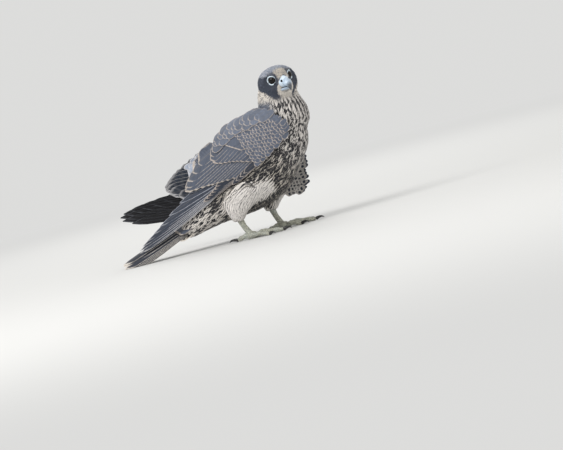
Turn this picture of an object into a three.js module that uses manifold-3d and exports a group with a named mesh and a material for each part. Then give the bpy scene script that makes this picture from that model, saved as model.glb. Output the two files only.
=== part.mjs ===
import * as THREE from 'three';
import Module from 'manifold-3d';

const wasm = await Module();
wasm.setup();

// Young peregrine falcon, about 42 cm long in life, standing with its head turned to its right.
// Millimetres, +X forward, +Y to the bird's left, +Z up, floor at Z = 0.
const GAP = 0.3;
const VANE = 0.6;
const SEED = 7;

// Body: the trunk's long axis rises forward by this pitch.
const PITCH = THREE.MathUtils.degToRad(34);
const BODY_AXIS = new THREE.Vector3(Math.cos(PITCH), 0, Math.sin(PITCH));
const BODY_UP = new THREE.Vector3(-Math.sin(PITCH), 0, Math.cos(PITCH));
// Trunk stations: distance along the axis, back height, belly height, half width.
const TRUNK = [
  [-78, 92, 80, 7],
  [-72, 98, 74, 13],
  [-50, 106, 65, 20],
  [-25, 117, 54, 26],
  [0, 126, 40, 33],
  [25, 130, 27, 40],
  [50, 133, 18, 45],
  [75, 135, 14, 48],
  [100, 135, 18, 48],
  [123, 131, 26, 45],
  [143, 120, 34, 39],
  [156, 108, 44, 31],
  [164, 96, 56, 20],
];
// Neck stations: centre X, centre Z, half depth front to back, half width.
const NECK = [
  [75, 138, 30, 30],
  [79, 156, 37, 35],
  [80, 172, 35.5, 33],
  [78, 186, 31, 29],
  [77, 198, 27, 26],
  [77, 208, 22, 22],
];
const NECK_CUT = { at: [84, 0, 160], normal: [0.34, 0, 0.94] };

// Head frame: origin midway between the eyes, turned 60 degrees to the bird's right.
const EYE_MID = new THREE.Vector3(89.8, -18, 214.9);
const HEAD_YAW = THREE.MathUtils.degToRad(-55.5);
const HEAD_PITCH = THREE.MathUtils.degToRad(4.8);
const HEAD_ROLL = THREE.MathUtils.degToRad(4.4);
// Head stations: forward distance, top, bottom, half width.
const HEAD = [
  [-36, 2, -12, 9],
  [-32, 10, -22, 20],
  [-23, 15, -31, 27],
  [-13, 17, -35, 30],
  [-4, 16.8, -35.5, 28.4],
  [3, 15, -34, 22.4],
  [9, 12.4, -30, 17],
  [14, 9.4, -26, 13.4],
  [18, 5.8, -21, 10.8],
  [20.5, 2.8, -17, 9],
];
const EYE = { radius: 8, opening: 6.6, at: [9, 16.2, 0], axis: [0.66, 0.75, 0.04] };
const LID_HEIGHT = 0.86;
const CERE = [
  [18, 3.2, -14.5, 9.4],
  [22, 2.2, -13.8, 8.6],
  [25.5, 0.2, -12.8, 7.3],
];
const BILL = [
  [25.8, -6.3, 7.1, 6.3, 0],
  [29, -7.5, 6.3, 5.5, 18],
  [32, -9.7, 5.0, 4.3, 42],
  [34, -13, 3.3, 3.0, 70],
  [34.6, -17, 1.6, 1.5, 92],
  [34.0, -19.8, 0.4, 0.4, 98],
];
// The bill narrows to a ridge along its top.
const RIDGE = 0.45;
const BILL_LOWER = [
  [15, -16.2, 2.8, 9.6],
  [20, -15.7, 2.9, 7.6],
  [25, -14.7, 2.3, 5.4],
  [28.6, -14.2, 1.1, 3.0],
];

// Right wing, folded: origin at the wrist, l runs to the tip and v up the wing's face.
const WING_R = { wrist: [96, -50, 143], slope: THREE.MathUtils.degToRad(24.3) };
const WING_R_SIDE = [[-5, 49], [0, 51], [40, 57], [100, 57], [150, 47], [200, 35], [250, 27], [310, 20]];
const WING_R_ROLL = [[0, 60], [60, 68], [100, 66], [120, 62], [160, 54], [200, 44], [310, 40]];
const WING_R_LOW = [[-4, 4], [0, -1], [11, -6], [46, -10], [89, -11.5], [122, -8], [153, -3], [180, 2]];
const WING_R_HIGH = [[-4, 9], [0, 18], [5, 32], [12, 44], [23, 53], [40, 58], [60, 60], [80, 60], [99, 56], [121, 48], [150, 38]];

// Left wing, drooped: its sheet hangs outside the body; X and Z are the bird's own.
const WING_L_LOW = [[-230, 78], [-100, 72], [0, 70], [60, 62], [90, 52]];
const WING_L_TOP = [[-230, 44], [-140, 34], [-45, 26], [0, 44], [30, 50], [90, 44]];
const WING_L_LEVELS = [50, 140];

// Tail: root and tip of its axis, and the roll that lowers its right side.
const TAIL = { root: [-48, 0, 62], tip: [-218, 0, 4.4], roll: THREE.MathUtils.degToRad(26) };

const COLOURS = {
  slate: 0x4a5360,
  slateDark: 0x2f343c,
  cream: 0xcdbd9d,
  buff: 0x9d8a68,
  bill: 0x7f8b98,
  cere: 0xa9b8bf,
  eye: 0x120d0b,
  leg: 0x9aa08a,
  claw: 0x1b1a1a,
};

// A small seeded random number, the same at every run.
let state = SEED;
function random() {
  state = (state * 1664525 + 1013904223) % 4294967296;
  return state / 4294967296;
}

function jitter(size) {
  return (random() * 2 - 1) * size;
}

function table(rows, x) {
  if (x <= rows[0][0]) return rows[0][1];
  for (let i = 1; i < rows.length; i += 1) {
    if (x <= rows[i][0]) {
      const [x0, y0] = rows[i - 1];
      const [x1, y1] = rows[i];
      return y0 + (y1 - y0) * (x - x0) / (x1 - x0);
    }
  }
  return rows[rows.length - 1][1];
}

function vec(p) {
  return new THREE.Vector3(...p);
}

// Raw forms are { points, faces }, with points as THREE.Vector3.
function toSolid(form) {
  const vertProperties = new Float32Array(form.points.flatMap((p) => [p.x, p.y, p.z]));
  let volume = 0;
  form.faces.forEach(([a, b, c]) => {
    volume += form.points[a].dot(new THREE.Vector3().crossVectors(form.points[b], form.points[c]));
  });
  const order = volume < 0 ? ([a, b, c]) => [a, c, b] : (f) => f;
  const triVerts = new Uint32Array(form.faces.flatMap(order));
  return new wasm.Manifold(new wasm.Mesh({ numProp: 3, vertProperties, triVerts }));
}

function puffed(form, distance) {
  const normals = form.points.map(() => new THREE.Vector3());
  let volume = 0;
  form.faces.forEach(([a, b, c]) => {
    const [p, q, r] = [form.points[a], form.points[b], form.points[c]];
    const n = new THREE.Vector3().crossVectors(q.clone().sub(p), r.clone().sub(p));
    volume += p.dot(new THREE.Vector3().crossVectors(q, r));
    [a, b, c].forEach((k) => normals[k].add(n));
  });
  const side = volume < 0 ? -distance : distance;
  const points = form.points.map((p, i) => p.clone().addScaledVector(normals[i].normalize(), side));
  return { points, faces: form.faces };
}

// A closed skin through rings of equal count, with a centre point on each end.
function loft(rings) {
  const n = rings[0].length;
  const points = rings.flat();
  const faces = [];
  for (let k = 0; k + 1 < rings.length; k += 1) {
    for (let i = 0; i < n; i += 1) {
      const j = (i + 1) % n;
      const [a, b] = [k * n + i, k * n + j];
      faces.push([a, b, b + n], [a, b + n, a + n]);
    }
  }
  [[0, 0], [rings.length - 1, 1]].forEach(([k, far]) => {
    const centre = new THREE.Vector3();
    rings[k].forEach((p) => centre.addScaledVector(p, 1 / n));
    points.push(centre);
    for (let i = 0; i < n; i += 1) {
      const j = (i + 1) % n;
      faces.push(far ? [points.length - 1, k * n + i, k * n + j] : [points.length - 1, k * n + j, k * n + i]);
    }
  });
  return { points, faces };
}

// An oval ring; power over 2 squares it off.
function ring(centre, across, up, halfWidth, halfHeight, sides, power = 2) {
  const points = [];
  for (let i = 0; i < sides; i += 1) {
    const t = (i / sides) * Math.PI * 2;
    const c = Math.cos(t);
    const s = Math.sin(t);
    const w = Math.sign(c) * Math.abs(c) ** (2 / power) * halfWidth;
    const h = Math.sign(s) * Math.abs(s) ** (2 / power) * halfHeight;
    points.push(centre.clone().addScaledVector(across, w).addScaledVector(up, h));
  }
  return points;
}

// A rod of oval rings along a path; rows are [point, half width, half height].
function rod(rows, sides, across = null) {
  const centres = rows.map((r) => vec(r[0]));
  const rings = rows.map((row, i) => {
    const ahead = centres[Math.min(i + 1, rows.length - 1)];
    const behind = centres[Math.max(i - 1, 0)];
    const along = ahead.clone().sub(behind).normalize();
    const side = across ? vec(across) : new THREE.Vector3(0, 1, 0);
    side.addScaledVector(along, -side.dot(along)).normalize();
    const up = new THREE.Vector3().crossVectors(along, side);
    return ring(centres[i], side, up, row[1], row[2] ?? row[1], sides);
  });
  return loft(rings);
}

function ball(centre, radii, sides = 16, rows = 8, axes = null) {
  const [ax, ay, az] = axes ?? [[1, 0, 0], [0, 1, 0], [0, 0, 1]];
  const rings = [];
  for (let k = 0; k <= rows; k += 1) {
    const t = -Math.PI / 2 + ((k + 0.5) / (rows + 1)) * Math.PI;
    const middle = vec(centre).addScaledVector(vec(az), Math.sin(t) * radii[2]);
    rings.push(ring(middle, vec(ax), vec(ay), Math.cos(t) * radii[0], Math.cos(t) * radii[1], sides));
  }
  return loft(rings);
}

function join(forms) {
  return forms.map((f) => (f.points ? toSolid(f) : f)).reduce((a, b) => a.add(b));
}

function cut(solid, ...tools) {
  return tools.reduce((a, b) => a.subtract(b.points ? toSolid(b) : b), solid);
}

function box(low, high) {
  const [a, b] = [vec(low), vec(high)];
  const at = (x, y, z) => new THREE.Vector3(x ? b.x : a.x, y ? b.y : a.y, z ? b.z : a.z);
  return loft([0, 1].map((z) => [at(0, 0, z), at(1, 0, z), at(1, 1, z), at(0, 1, z)]));
}

// Half space as a big block, on the side that the normal points to.
function halfSpace(at, normal, shift = 0) {
  const n = vec(normal).normalize();
  const side = Math.abs(n.y) > 0.9 ? new THREE.Vector3(1, 0, 0) : new THREE.Vector3(0, 1, 0);
  const u = new THREE.Vector3().crossVectors(side, n).normalize();
  const w = new THREE.Vector3().crossVectors(n, u);
  const base = vec(at).addScaledVector(n, shift);
  const rings = [0, 900].map((d) => ring(base.clone().addScaledVector(n, d), u, w, 900, 900, 4));
  return loft(rings);
}

const BELOW_FLOOR = box([-900, -900, -300], [900, 900, 0]);

function largest(solid) {
  return solid.decompose().reduce((a, b) => (b.volume() > a.volume() ? b : a));
}

function geometryOf(solid) {
  const mesh = largest(cut(solid, BELOW_FLOOR)).getMesh();
  const positions = [];
  for (let i = 0; i < mesh.vertProperties.length; i += mesh.numProp) {
    positions.push(mesh.vertProperties[i], mesh.vertProperties[i + 1], mesh.vertProperties[i + 2]);
  }
  const geometry = new THREE.BufferGeometry();
  geometry.setAttribute('position', new THREE.Float32BufferAttribute(positions, 3));
  geometry.setIndex(Array.from(mesh.triVerts));
  geometry.computeVertexNormals();
  return geometry;
}

// A surface map takes (l, v) to a point; lifted() adds a height along its outward normal.
function lifted(map, l, v, h) {
  const step = 0.5;
  const p = map(l, v);
  const dl = map(l + step, v).sub(map(l - step, v));
  const dv = map(l, v + step).sub(map(l, v - step));
  const n = new THREE.Vector3().crossVectors(dl, dv).normalize().multiplyScalar(map.side);
  return p.addScaledVector(n, h);
}

function wingRight(l, v) {
  const [x, , z] = WING_R.wrist;
  const c = Math.cos(WING_R.slope);
  const s = Math.sin(WING_R.slope);
  const rise = Math.min(Math.max(v, 0) / table(WING_R_ROLL, l), 0.97);
  const y = -table(WING_R_SIDE, l) * Math.sqrt(1 - rise * rise);
  return new THREE.Vector3(x - c * l - s * v, y, z - s * l + c * v);
}
wingRight.side = -1;

function wingLeft(x, z) {
  const [z0, z1] = WING_L_LEVELS;
  const t = (z - z0) / (z1 - z0);
  const bulge = 9 * Math.max(0, 1 - (2 * t - 1) ** 2) * THREE.MathUtils.smoothstep(x, -60, 20);
  return new THREE.Vector3(x, table(WING_L_LOW, x) * (1 - t) + table(WING_L_TOP, x) * t + bulge, z);
}
wingLeft.side = -1;

const TAIL_AXIS = vec(TAIL.tip).sub(vec(TAIL.root)).normalize();
const TAIL_SIDE = new THREE.Vector3(0, Math.cos(TAIL.roll), Math.sin(TAIL.roll));
TAIL_SIDE.addScaledVector(TAIL_AXIS, -TAIL_SIDE.dot(TAIL_AXIS)).normalize();

function tailSheet(l, v) {
  const arch = -(v * v) / 90;
  const up = new THREE.Vector3().crossVectors(TAIL_AXIS, TAIL_SIDE).multiplyScalar(-1);
  return vec(TAIL.root).addScaledVector(TAIL_AXIS, l).addScaledVector(TAIL_SIDE, v).addScaledVector(up, arch);
}
tailSheet.side = -1;

// A plate on a surface map between two lines of v, from height low to height high.
function slab(map, l0, l1, vLow, vHigh, low, high, nl = 10, nv = 6) {
  const rows = [];
  for (let i = 0; i <= nl; i += 1) {
    const l = l0 + (l1 - l0) * (i / nl);
    const row = [];
    const at = (j, side) => {
      const t = j / nv;
      const v = vLow(l) + (vHigh(l) - vLow(l)) * t;
      const edge = Math.abs(2 * t - 1) ** 4;
      return lifted(map, l, v, side ? high(l, edge) : low(l, v));
    };
    for (let j = 0; j <= nv; j += 1) row.push(at(j, 1));
    for (let j = nv; j >= 0; j -= 1) row.push(at(j, 0));
    rows.push(row);
  }
  return plate(rows, nv);
}

// A closed skin through rows that each run along the top of a plate and back underneath.
function plate(rows, nv) {
  const n = 2 * nv + 2;
  const faces = [];
  for (let k = 0; k + 1 < rows.length; k += 1) {
    for (let i = 0; i < n; i += 1) {
      const j = (i + 1) % n;
      const mirrored = i > nv;
      const [a, b] = [k * n + i, k * n + j];
      if (mirrored) faces.push([a, b, a + n], [b, b + n, a + n]);
      else faces.push([a, b, b + n], [a, b + n, a + n]);
    }
  }
  const last = (rows.length - 1) * n;
  for (let j = 0; j < nv; j += 1) {
    const [a, b, c, d] = [j, j + 1, n - 2 - j, n - 1 - j];
    faces.push([a, c, b], [a, d, c], [last + a, last + b, last + c], [last + a, last + c, last + d]);
  }
  return { points: rows.flat(), faces };
}

// A feather's vane on a surface map. from and to are its root and tip in (l, v); it tapers to
// a rounded or pointed tip, and tilt raises one edge so that neighbours overlap as shingles.
const VANE_SHAPE = [[0, 0.5], [0.3, 0.95], [0.78, 0.96], [0.95, 0.6], [1, 0.12]];
const VANE_SHORT = [[0, 0.5], [0.35, 0.95], [0.72, 1], [0.93, 0.62], [1, 0.12]];
const VANE_POINTED = [[0, 0.5], [0.3, 1], [0.68, 0.84], [0.92, 0.42], [1, 0.08]];

function vane(map, from, to, width, h0, h1, options = {}) {
  const { tilt = 0.12, shape = VANE_SHAPE, bow = 0, thick = VANE, rise = 0 } = options;
  const dl = to[0] - from[0];
  const dv = to[1] - from[1];
  const length = Math.hypot(dl, dv);
  const side = [-dv / length, dl / length];
  const rings = shape.map(([t, w]) => {
    const arc = bow * Math.sin(Math.PI * t);
    const l = from[0] + dl * t + side[0] * arc;
    const v = from[1] + dv * t + side[1] * arc;
    const h = h0 + (h1 - h0) * t + rise * Math.min(t * 2.2, 1);
    const half = (width / 2) * w;
    const corner = (s, lift) => lifted(map, l + side[0] * s, v + side[1] * s, h - tilt * s + lift);
    const t2 = (thick / 2) * (t > 0.95 ? 0.75 : 1);
    return [corner(-half, t2), corner(half, t2), corner(half, -t2), corner(-half, -t2)];
  });
  const n = 4;
  const points = rings.flat();
  const faces = [];
  for (let k = 0; k + 1 < rings.length; k += 1) {
    const a = k * n;
    const b = a + n;
    faces.push([a, a + 1, b + 1], [a, b + 1, b], [a + 3, b + 2, a + 2], [a + 3, b + 3, b + 2]);
    faces.push([a + 1, a + 2, b + 2], [a + 1, b + 2, b + 1], [a + 3, a, b], [a + 3, b, b + 3]);
  }
  const e = (rings.length - 1) * n;
  faces.push([0, 3, 2], [0, 2, 1], [e, e + 1, e + 2], [e, e + 2, e + 3]);
  return { points, faces };
}

// Points a share t along a polyline of (l, v) pairs, by even shares of its rows.
function along(rows, t) {
  const x = Math.min(Math.max(t, 0), 1) * (rows.length - 1);
  const i = Math.min(Math.floor(x), rows.length - 2);
  const f = x - i;
  return rows[i].map((value, k) => value * (1 - f) + rows[i + 1][k] * f);
}

// Trunk and neck.
function trunkForm() {
  const rings = TRUNK.map(([a, top, bottom, half]) => {
    const middle = new THREE.Vector3()
      .addScaledVector(BODY_AXIS, a)
      .addScaledVector(BODY_UP, (top + bottom) / 2);
    return ring(middle, new THREE.Vector3(0, 1, 0), BODY_UP, half, (top - bottom) / 2, 24, 2.15);
  });
  return loft(rings);
}

function neckForm() {
  const rings = NECK.map(([x, z, depth, half], i) => {
    const lean = THREE.MathUtils.degToRad(-14 + i * 3);
    const forward = new THREE.Vector3(Math.cos(lean), 0, Math.sin(lean));
    return ring(new THREE.Vector3(x, -1 - i * 0.8, z), new THREE.Vector3(0, 1, 0), forward, half, depth, 24);
  });
  return loft(rings);
}

// Head.
const HEAD_FORWARD = new THREE.Vector3(
  Math.cos(HEAD_YAW) * Math.cos(HEAD_PITCH),
  Math.sin(HEAD_YAW) * Math.cos(HEAD_PITCH),
  -Math.sin(HEAD_PITCH),
);
const HEAD_LEFT = new THREE.Vector3(-Math.sin(HEAD_YAW), Math.cos(HEAD_YAW), 0)
  .applyAxisAngle(HEAD_FORWARD, HEAD_ROLL);
const HEAD_UP = new THREE.Vector3().crossVectors(HEAD_FORWARD, HEAD_LEFT);

function inHead([x, y, z]) {
  return EYE_MID.clone()
    .addScaledVector(HEAD_FORWARD, x)
    .addScaledVector(HEAD_LEFT, y)
    .addScaledVector(HEAD_UP, z);
}

function headDirection([x, y, z]) {
  return inHead([x, y, z]).sub(EYE_MID).normalize();
}

function headRings(rows, sides, power = 2) {
  return rows.map(([x, top, bottom, half]) =>
    ring(inHead([x, 0, (top + bottom) / 2]), HEAD_LEFT, HEAD_UP, half, (top - bottom) / 2, sides, power));
}

function eyePlace(side) {
  const axis = headDirection([EYE.axis[0], side * EYE.axis[1], EYE.axis[2]]);
  const surface = inHead([EYE.at[0], side * EYE.at[1], EYE.at[2]]);
  const centre = surface.clone().addScaledVector(axis, -EYE.radius);
  return { axis, centre };
}

function frameOf(axis) {
  const u = new THREE.Vector3().crossVectors(HEAD_UP, axis).normalize();
  const w = new THREE.Vector3().crossVectors(axis, u);
  return [u.toArray(), w.toArray(), axis.toArray()];
}

function eyeForm(side, grow = 0) {
  const { axis, centre } = eyePlace(side);
  const r = EYE.radius + grow;
  return ball(centre.toArray(), [r, r, r], 16, 8, frameOf(axis));
}

// The lids stand as a low ring round the eye, oval and a little slanted.
function lidForm(side) {
  const { axis, centre } = eyePlace(side);
  const [u, w] = frameOf(axis).map(vec);
  const rings = [];
  const seat = Math.sqrt(EYE.radius ** 2 - EYE.opening ** 2) + 0.2;
  for (let i = 0; i < 16; i += 1) {
    const t = (i / 16) * Math.PI * 2;
    const out = u.clone().multiplyScalar(Math.cos(t)).addScaledVector(w, Math.sin(t) * LID_HEIGHT);
    const middle = centre.clone().addScaledVector(axis, seat).addScaledVector(out, EYE.opening + 0.5);
    rings.push(ring(middle, out.clone().normalize(), axis, 0.95, 0.8, 5));
  }
  return closedTube(rings);
}

function closedTube(rings) {
  const n = rings[0].length;
  const points = rings.flat();
  const faces = [];
  rings.forEach((_, k) => {
    const next = (k + 1) % rings.length;
    for (let i = 0; i < n; i += 1) {
      const j = (i + 1) % n;
      faces.push([k * n + i, k * n + j, next * n + j], [k * n + i, next * n + j, next * n + i]);
    }
  });
  return { points, faces };
}

function browForm(side) {
  const rows = [[-6, 22.5, 8, 1.6], [0, 21.5, 8.4, 2.4], [6, 18.6, 8, 2.8], [12, 14, 6.2, 2.2], [16, 10.6, 4, 1.2]];
  return rod(rows.map(([x, y, z, r]) => [inHead([x, side * (y - 2.2), z - 1]).toArray(), r, r * 0.8]), 6, HEAD_UP.toArray());
}

function headSolid() {
  const head = join([loft(headRings(HEAD, 20, 2.1)), browForm(1), browForm(-1), lidForm(1), lidForm(-1)]);
  return cut(head, eyeForm(1, GAP), eyeForm(-1, GAP));
}

function mouthSlit() {
  const rows = [[12, -14.4, 16], [20, -13.9, 13], [30, -13.6, 10]];
  const rings = rows.map(([x, z, half]) => {
    const thick = x < 13 ? 0.15 : 0.3;
    return ring(inHead([x, 0, z]), HEAD_LEFT, HEAD_UP, half, thick, 4);
  });
  return loft(rings);
}

function nostril(side) {
  const from = inHead([20, side * 4.4, -3.4]).toArray();
  const to = inHead([29, side * 8.8, -3.4]).toArray();
  return rod([[from, 1.3], [to, 1.8]], 10, HEAD_UP.toArray());
}

function billForm(rows, grow = 0) {
  const rings = rows.map(([x, z, half, height, turn]) => {
    const t = THREE.MathUtils.degToRad(turn);
    const up = HEAD_UP.clone().multiplyScalar(Math.cos(t)).addScaledVector(HEAD_FORWARD, Math.sin(t));
    const middle = inHead([x, 0, z]);
    return ridged(ring(middle, HEAD_LEFT, up, half + grow, height + grow, 14), middle, up, height);
  });
  return loft(rings);
}

function cereForm() {
  return loft(CERE.map(([x, top, bottom, half]) => {
    const middle = inHead([x, 0, (top + bottom) / 2]);
    const height = (top - bottom) / 2;
    return ridged(ring(middle, HEAD_LEFT, HEAD_UP, half, height, 16), middle, HEAD_UP, height);
  }));
}

function ridged(points, middle, up, height) {
  return points.map((point) => {
    const out = point.clone().sub(middle);
    const rise = Math.max(out.dot(up) / height, 0);
    return out.addScaledVector(HEAD_LEFT, -out.dot(HEAD_LEFT) * RIDGE * rise).add(middle);
  });
}

// Legs: the feathered thigh, the bare shank, the foot with four toes, and the claws.
const LEGS = {
  right: {
    thigh: [[[8, -34, 84], 25, 26], [[-4, -37, 70], 22, 27], [[-14, -36, 54], 16, 22], [[-18, -33, 40], 11, 14], [[-18, -31, 30], 8, 9]],
    shank: [[-18, -31, 34], [-14, -30, 20], [-9, -28.5, 9]],
    foot: [-6, -28],
    heading: -0.1,
  },
  left: {
    thigh: [[[34, 30, 86], 24, 26], [[26, 34, 70], 21, 26], [[20, 34, 54], 16, 21], [[16, 32, 40], 11, 14], [[16, 30, 30], 8, 9]],
    shank: [[16, 30, 34], [20, 29, 20], [25, 28.3, 9]],
    foot: [28, 28],
    heading: 0.12,
  },
};
const TOES = {
  inner: { turn: 34, length: 33, thick: 4.1 },
  middle: { turn: 2, length: 46, thick: 4.2 },
  outer: { turn: -30, length: 37, thick: 3.7 },
  hind: { turn: 178, length: 21, thick: 4.3 },
};
const CLAW_LENGTH = 15;

function thighForm(leg) {
  return rod(leg.thigh, 16, [0, 1, 0]);
}

function shankForm(leg) {
  const rows = leg.shank.map((p, i) => [p, [4.6, 3.9, 4.3][i], [5.2, 4.2, 4.6][i]]);
  return rod(rows, 12, [0, 1, 0]);
}

// A toe runs along the floor with a pad under each joint.
function toeRows(leg, name) {
  const toe = TOES[name];
  const side = leg === LEGS.right ? -1 : 1;
  const turn = THREE.MathUtils.degToRad(toe.turn) * -side + leg.heading;
  const dir = new THREE.Vector3(Math.cos(turn), Math.sin(turn), 0);
  const [x, y] = leg.foot;
  const rows = [];
  for (let i = 0; i <= 5; i += 1) {
    const t = i / 5;
    const knuckle = 1 + 0.13 * Math.cos(t * Math.PI * 5);
    const r = toe.thick * (1 - 0.28 * t) * knuckle;
    const p = new THREE.Vector3(x, y, 0).addScaledVector(dir, 2 + toe.length * t);
    p.z = r * 0.86 + 2.4 * Math.sin(Math.PI * Math.min(t * 1.1, 1));
    rows.push([p.toArray(), r, r * 1.02]);
  }
  return { rows, dir };
}

function footForm(leg) {
  const [x, y] = leg.foot;
  const pad = ball([x, y, 4.6], [9.5, 8, 6], 12, 6);
  return join([pad, ...Object.keys(TOES).map((name) => rod(toeRows(leg, name).rows, 8, [0, 0, 1]))]);
}

function clawForm(leg, name) {
  const { rows, dir } = toeRows(leg, name);
  const start = vec(rows[rows.length - 1][0]);
  const scale = name === 'hind' || name === 'inner' ? 1.15 : 1;
  const out = [];
  for (let i = 0; i <= 5; i += 1) {
    const t = i / 5;
    const p = start.clone().addScaledVector(dir, 0.5 + CLAW_LENGTH * scale * Math.sin(t * 1.25) * 0.9);
    p.z = start.z + 2.2 * Math.sin(t * Math.PI * 0.9) - t * t * (start.z - 0.25);
    const r = 2.6 * (1 - t) ** 0.8 + 0.2;
    out.push([p.toArray(), r, r * 0.8]);
  }
  return rod(out, 6, [0, 0, 1]);
}

// A row of feathers whose roots and tips run along polylines of (l, v).
function fan(sheet, count, roots, tips, widths, heights, options) {
  const made = [];
  for (let i = 0; i < count; i += 1) {
    const t = count > 1 ? i / (count - 1) : 0;
    const width = widths[0] + (widths[1] - widths[0]) * t;
    const h = heights[0] + (heights[1] - heights[0]) * t;
    const to = along(tips, t).map((x) => x + jitter(0.8));
    made.push(vane(sheet, along(roots, t), to, width, h, h, options));
  }
  return made;
}

// Right wing's parts, from the outer layer to the inner one.
function wingRightCore() {
  const low = (l) => table(WING_R_LOW, l);
  const high = (l) => table(WING_R_HIGH, l);
  const deep = (l, v) => table([[20, -46], [42, -12]], v);
  const front = slab(wingRight, -4, 56, low, high, deep, (l, e) => -2.4 - 3.4 * e, 6, 6);
  const back = slab(wingRight, 54, 104, low, high, () => -3.5, () => -2.6, 5, 6);
  return [front, back];
}

function wingRightCoverts() {
  const greater = fan(wingRight, 9, [[30, -4], [50, 12], [70, 34], [84, 50]],
    [[66, -3], [76, 0], [85, 5], [95, 15], [104, 21], [114, 26], [125, 32], [128, 42], [118, 50]],
    [12, 13], [-2.4, -2.4], { tilt: 0.1, rise: 1.2, shape: VANE_SHORT });
  const median = fan(wingRight, 7, [[26, 2], [40, 16], [56, 34], [70, 52]],
    [[56, 6], [60, 14], [70, 19], [81, 23], [89, 34], [96, 43], [98, 53]],
    [12, 13], [-2.2, -2.2], { tilt: 0.1, rise: 2.6, shape: VANE_SHORT });
  const scapular = fan(wingRight, 5, [[12, 42], [30, 49], [48, 52], [62, 52]],
    [[44, 44], [64, 50], [82, 50], [99, 51]], [14, 15], [-2.4, -2.4], { tilt: 0, rise: 4, shape: VANE_SHORT });
  return [...greater, ...median, ...scapular];
}

function wingRightSecondaryRoot() {
  return slab(wingRight, 60, 94, (l) => (l - 60) * 0.2, (l) => table(WING_R_HIGH, l) - 8,
    () => -6.5, () => -4, 3, 5);
}

function wingRightSecondaries() {
  return fan(wingRight, 10, [[66, 6], [70, 16], [78, 30], [86, 42]],
    [[118, 0], [132, 6], [142, 11], [153, 15], [161, 19], [177, 25], [190, 30], [186, 36], [170, 43], [150, 48]],
    [14, 17], [-5.3, -5.3], { tilt: 0.11, shape: VANE_SHORT });
}

function wingRightPrimaryRoot() {
  const low = (l) => table([[60, -7], [89, -9], [122, -6], [153, -2]], l);
  return slab(wingRight, 80, 134, low, (l) => low(l) + 18, () => -10.4, () => -7, 4, 3);
}

function wingRightPrimaries() {
  const primaries = fan(wingRight, 10, [[95, 8], [110, 2], [128, -4]],
    [[188, 26], [215, 22], [249, 15], [268, 11], [287, 8], [301, 6], [308, 1], [298, -2]],
    [15, 11], [-9, -9.4], { tilt: 0.2, shape: VANE_POINTED });
  const coverts = fan(wingRight, 5, [[104, -1], [112, -3], [120, -6]],
    [[146, 3], [152, 0], [165, -1], [176, -2]], [8, 8], [-7.6, -7.6], { tilt: 0, rise: 1.5, shape: VANE_SHORT });
  return [...primaries, ...coverts];
}

// Left wing's parts: its inner face is seen, its outer face carries the upper coverts.
function wingLeftCore() {
  const low = (x) => table([[-10, 100], [15, 72], [41, 46], [62, 43], [70, 52], [75, 75], [79, 100]], x);
  const high = (x) => table([[-10, 132], [20, 138], [60, 144], [74, 142], [79, 120]], x);
  const sheet = slab(wingLeft, -10, 79, low, high, () => -3, () => 1.5, 7, 6);
  const arm = slab(wingLeft, 33, 78, (x) => low(x) + 1, (x) => high(x) - 1, () => 1, (x, e) => 7.2 - 4 * e, 5, 6);
  return [sheet, arm];
}

function wingLeftCoverts() {
  const upper = fan(wingLeft, 6, [[44, 58], [42, 84], [40, 128]], [[-28, 57], [-36, 86], [-32, 133]],
    [13, 14], [5.6, 5.6], { tilt: 0.06, shape: VANE_SHORT });
  const under = fan(wingLeft, 6, [[6, 82], [4, 96], [4, 122]], [[-26, 68], [-32, 88], [-28, 126]],
    [12, 12], [-2.2, -2.2], { tilt: 0, rise: -1.4, shape: VANE_SHORT });
  return [...upper, ...under];
}

function wingLeftSecondaryRoot() {
  return slab(wingLeft, -34, -11, () => 74, () => 130, () => -2, () => 1, 2, 5);
}

function wingLeftSecondaries() {
  return fan(wingLeft, 8, [[-18, 78], [-18, 90], [-16, 106], [-14, 122]],
    [[-95, 72], [-118, 80], [-138, 92], [-139, 99], [-128, 108], [-116, 114], [-96, 123], [-75, 131], [-60, 135]],
    [17, 19], [-0.5, -0.5], { tilt: -0.1, shape: VANE_SHORT });
}

function wingLeftPrimaryRoot() {
  return slab(wingLeft, -24, 30, (x) => table([[-24, 50], [30, 47]], x), (x) => table([[-24, 74], [30, 62]], x),
    () => 1.9, () => 4.3, 3, 3);
}

function wingLeftPrimaries() {
  return fan(wingLeft, 8, [[-14, 68], [0, 58], [16, 51]],
    [[-96, 85], [-130, 84], [-160, 81], [-182, 79], [-200, 77], [-215, 73], [-220, 67], [-206, 58]],
    [18, 13], [3.75, 3.75], { tilt: -0.16, shape: VANE_POINTED });
}

// Tail: twelve feathers, the middle pair on top, with coverts above and below their roots.
function tailCore() {
  const half = (l) => table([[44, 8], [64, 13]], l);
  return slab(tailSheet, 44, 64, (l) => -half(l), half, () => -6.6, () => 2.2, 2, 4);
}

function tailVanes() {
  const made = [];
  for (let k = 0; k < 6; k += 1) {
    [-1, 1].forEach((side) => {
      const h = 0.3 - 0.9 * k + (k === 0 && side > 0 ? 0.9 : 0);
      const width = k === 0 ? 19 : 15;
      const out = k === 0 ? 1.5 : 7 + 2.2 * k;
      const from = [50, side * (k === 0 ? 1 : 5 + 0.6 * k)];
      const to = [176 - 0.32 * k * k, side * out];
      made.push(vane(tailSheet, from, to, width, h, h, { tilt: 0 }));
    });
  }
  for (let i = -2; i <= 2; i += 1) {
    const spread = Math.abs(i);
    made.push(vane(tailSheet, [50, i * 4], [90 - 4 * spread, i * 8], 10, 1.5, 2.4, { tilt: 0, shape: VANE_SHORT }));
    made.push(vane(tailSheet, [50, i * 4], [106 - 6 * spread, i * 8], 10, -5.8, -6, { tilt: 0, shape: VANE_SHORT }));
  }
  return made;
}

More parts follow.
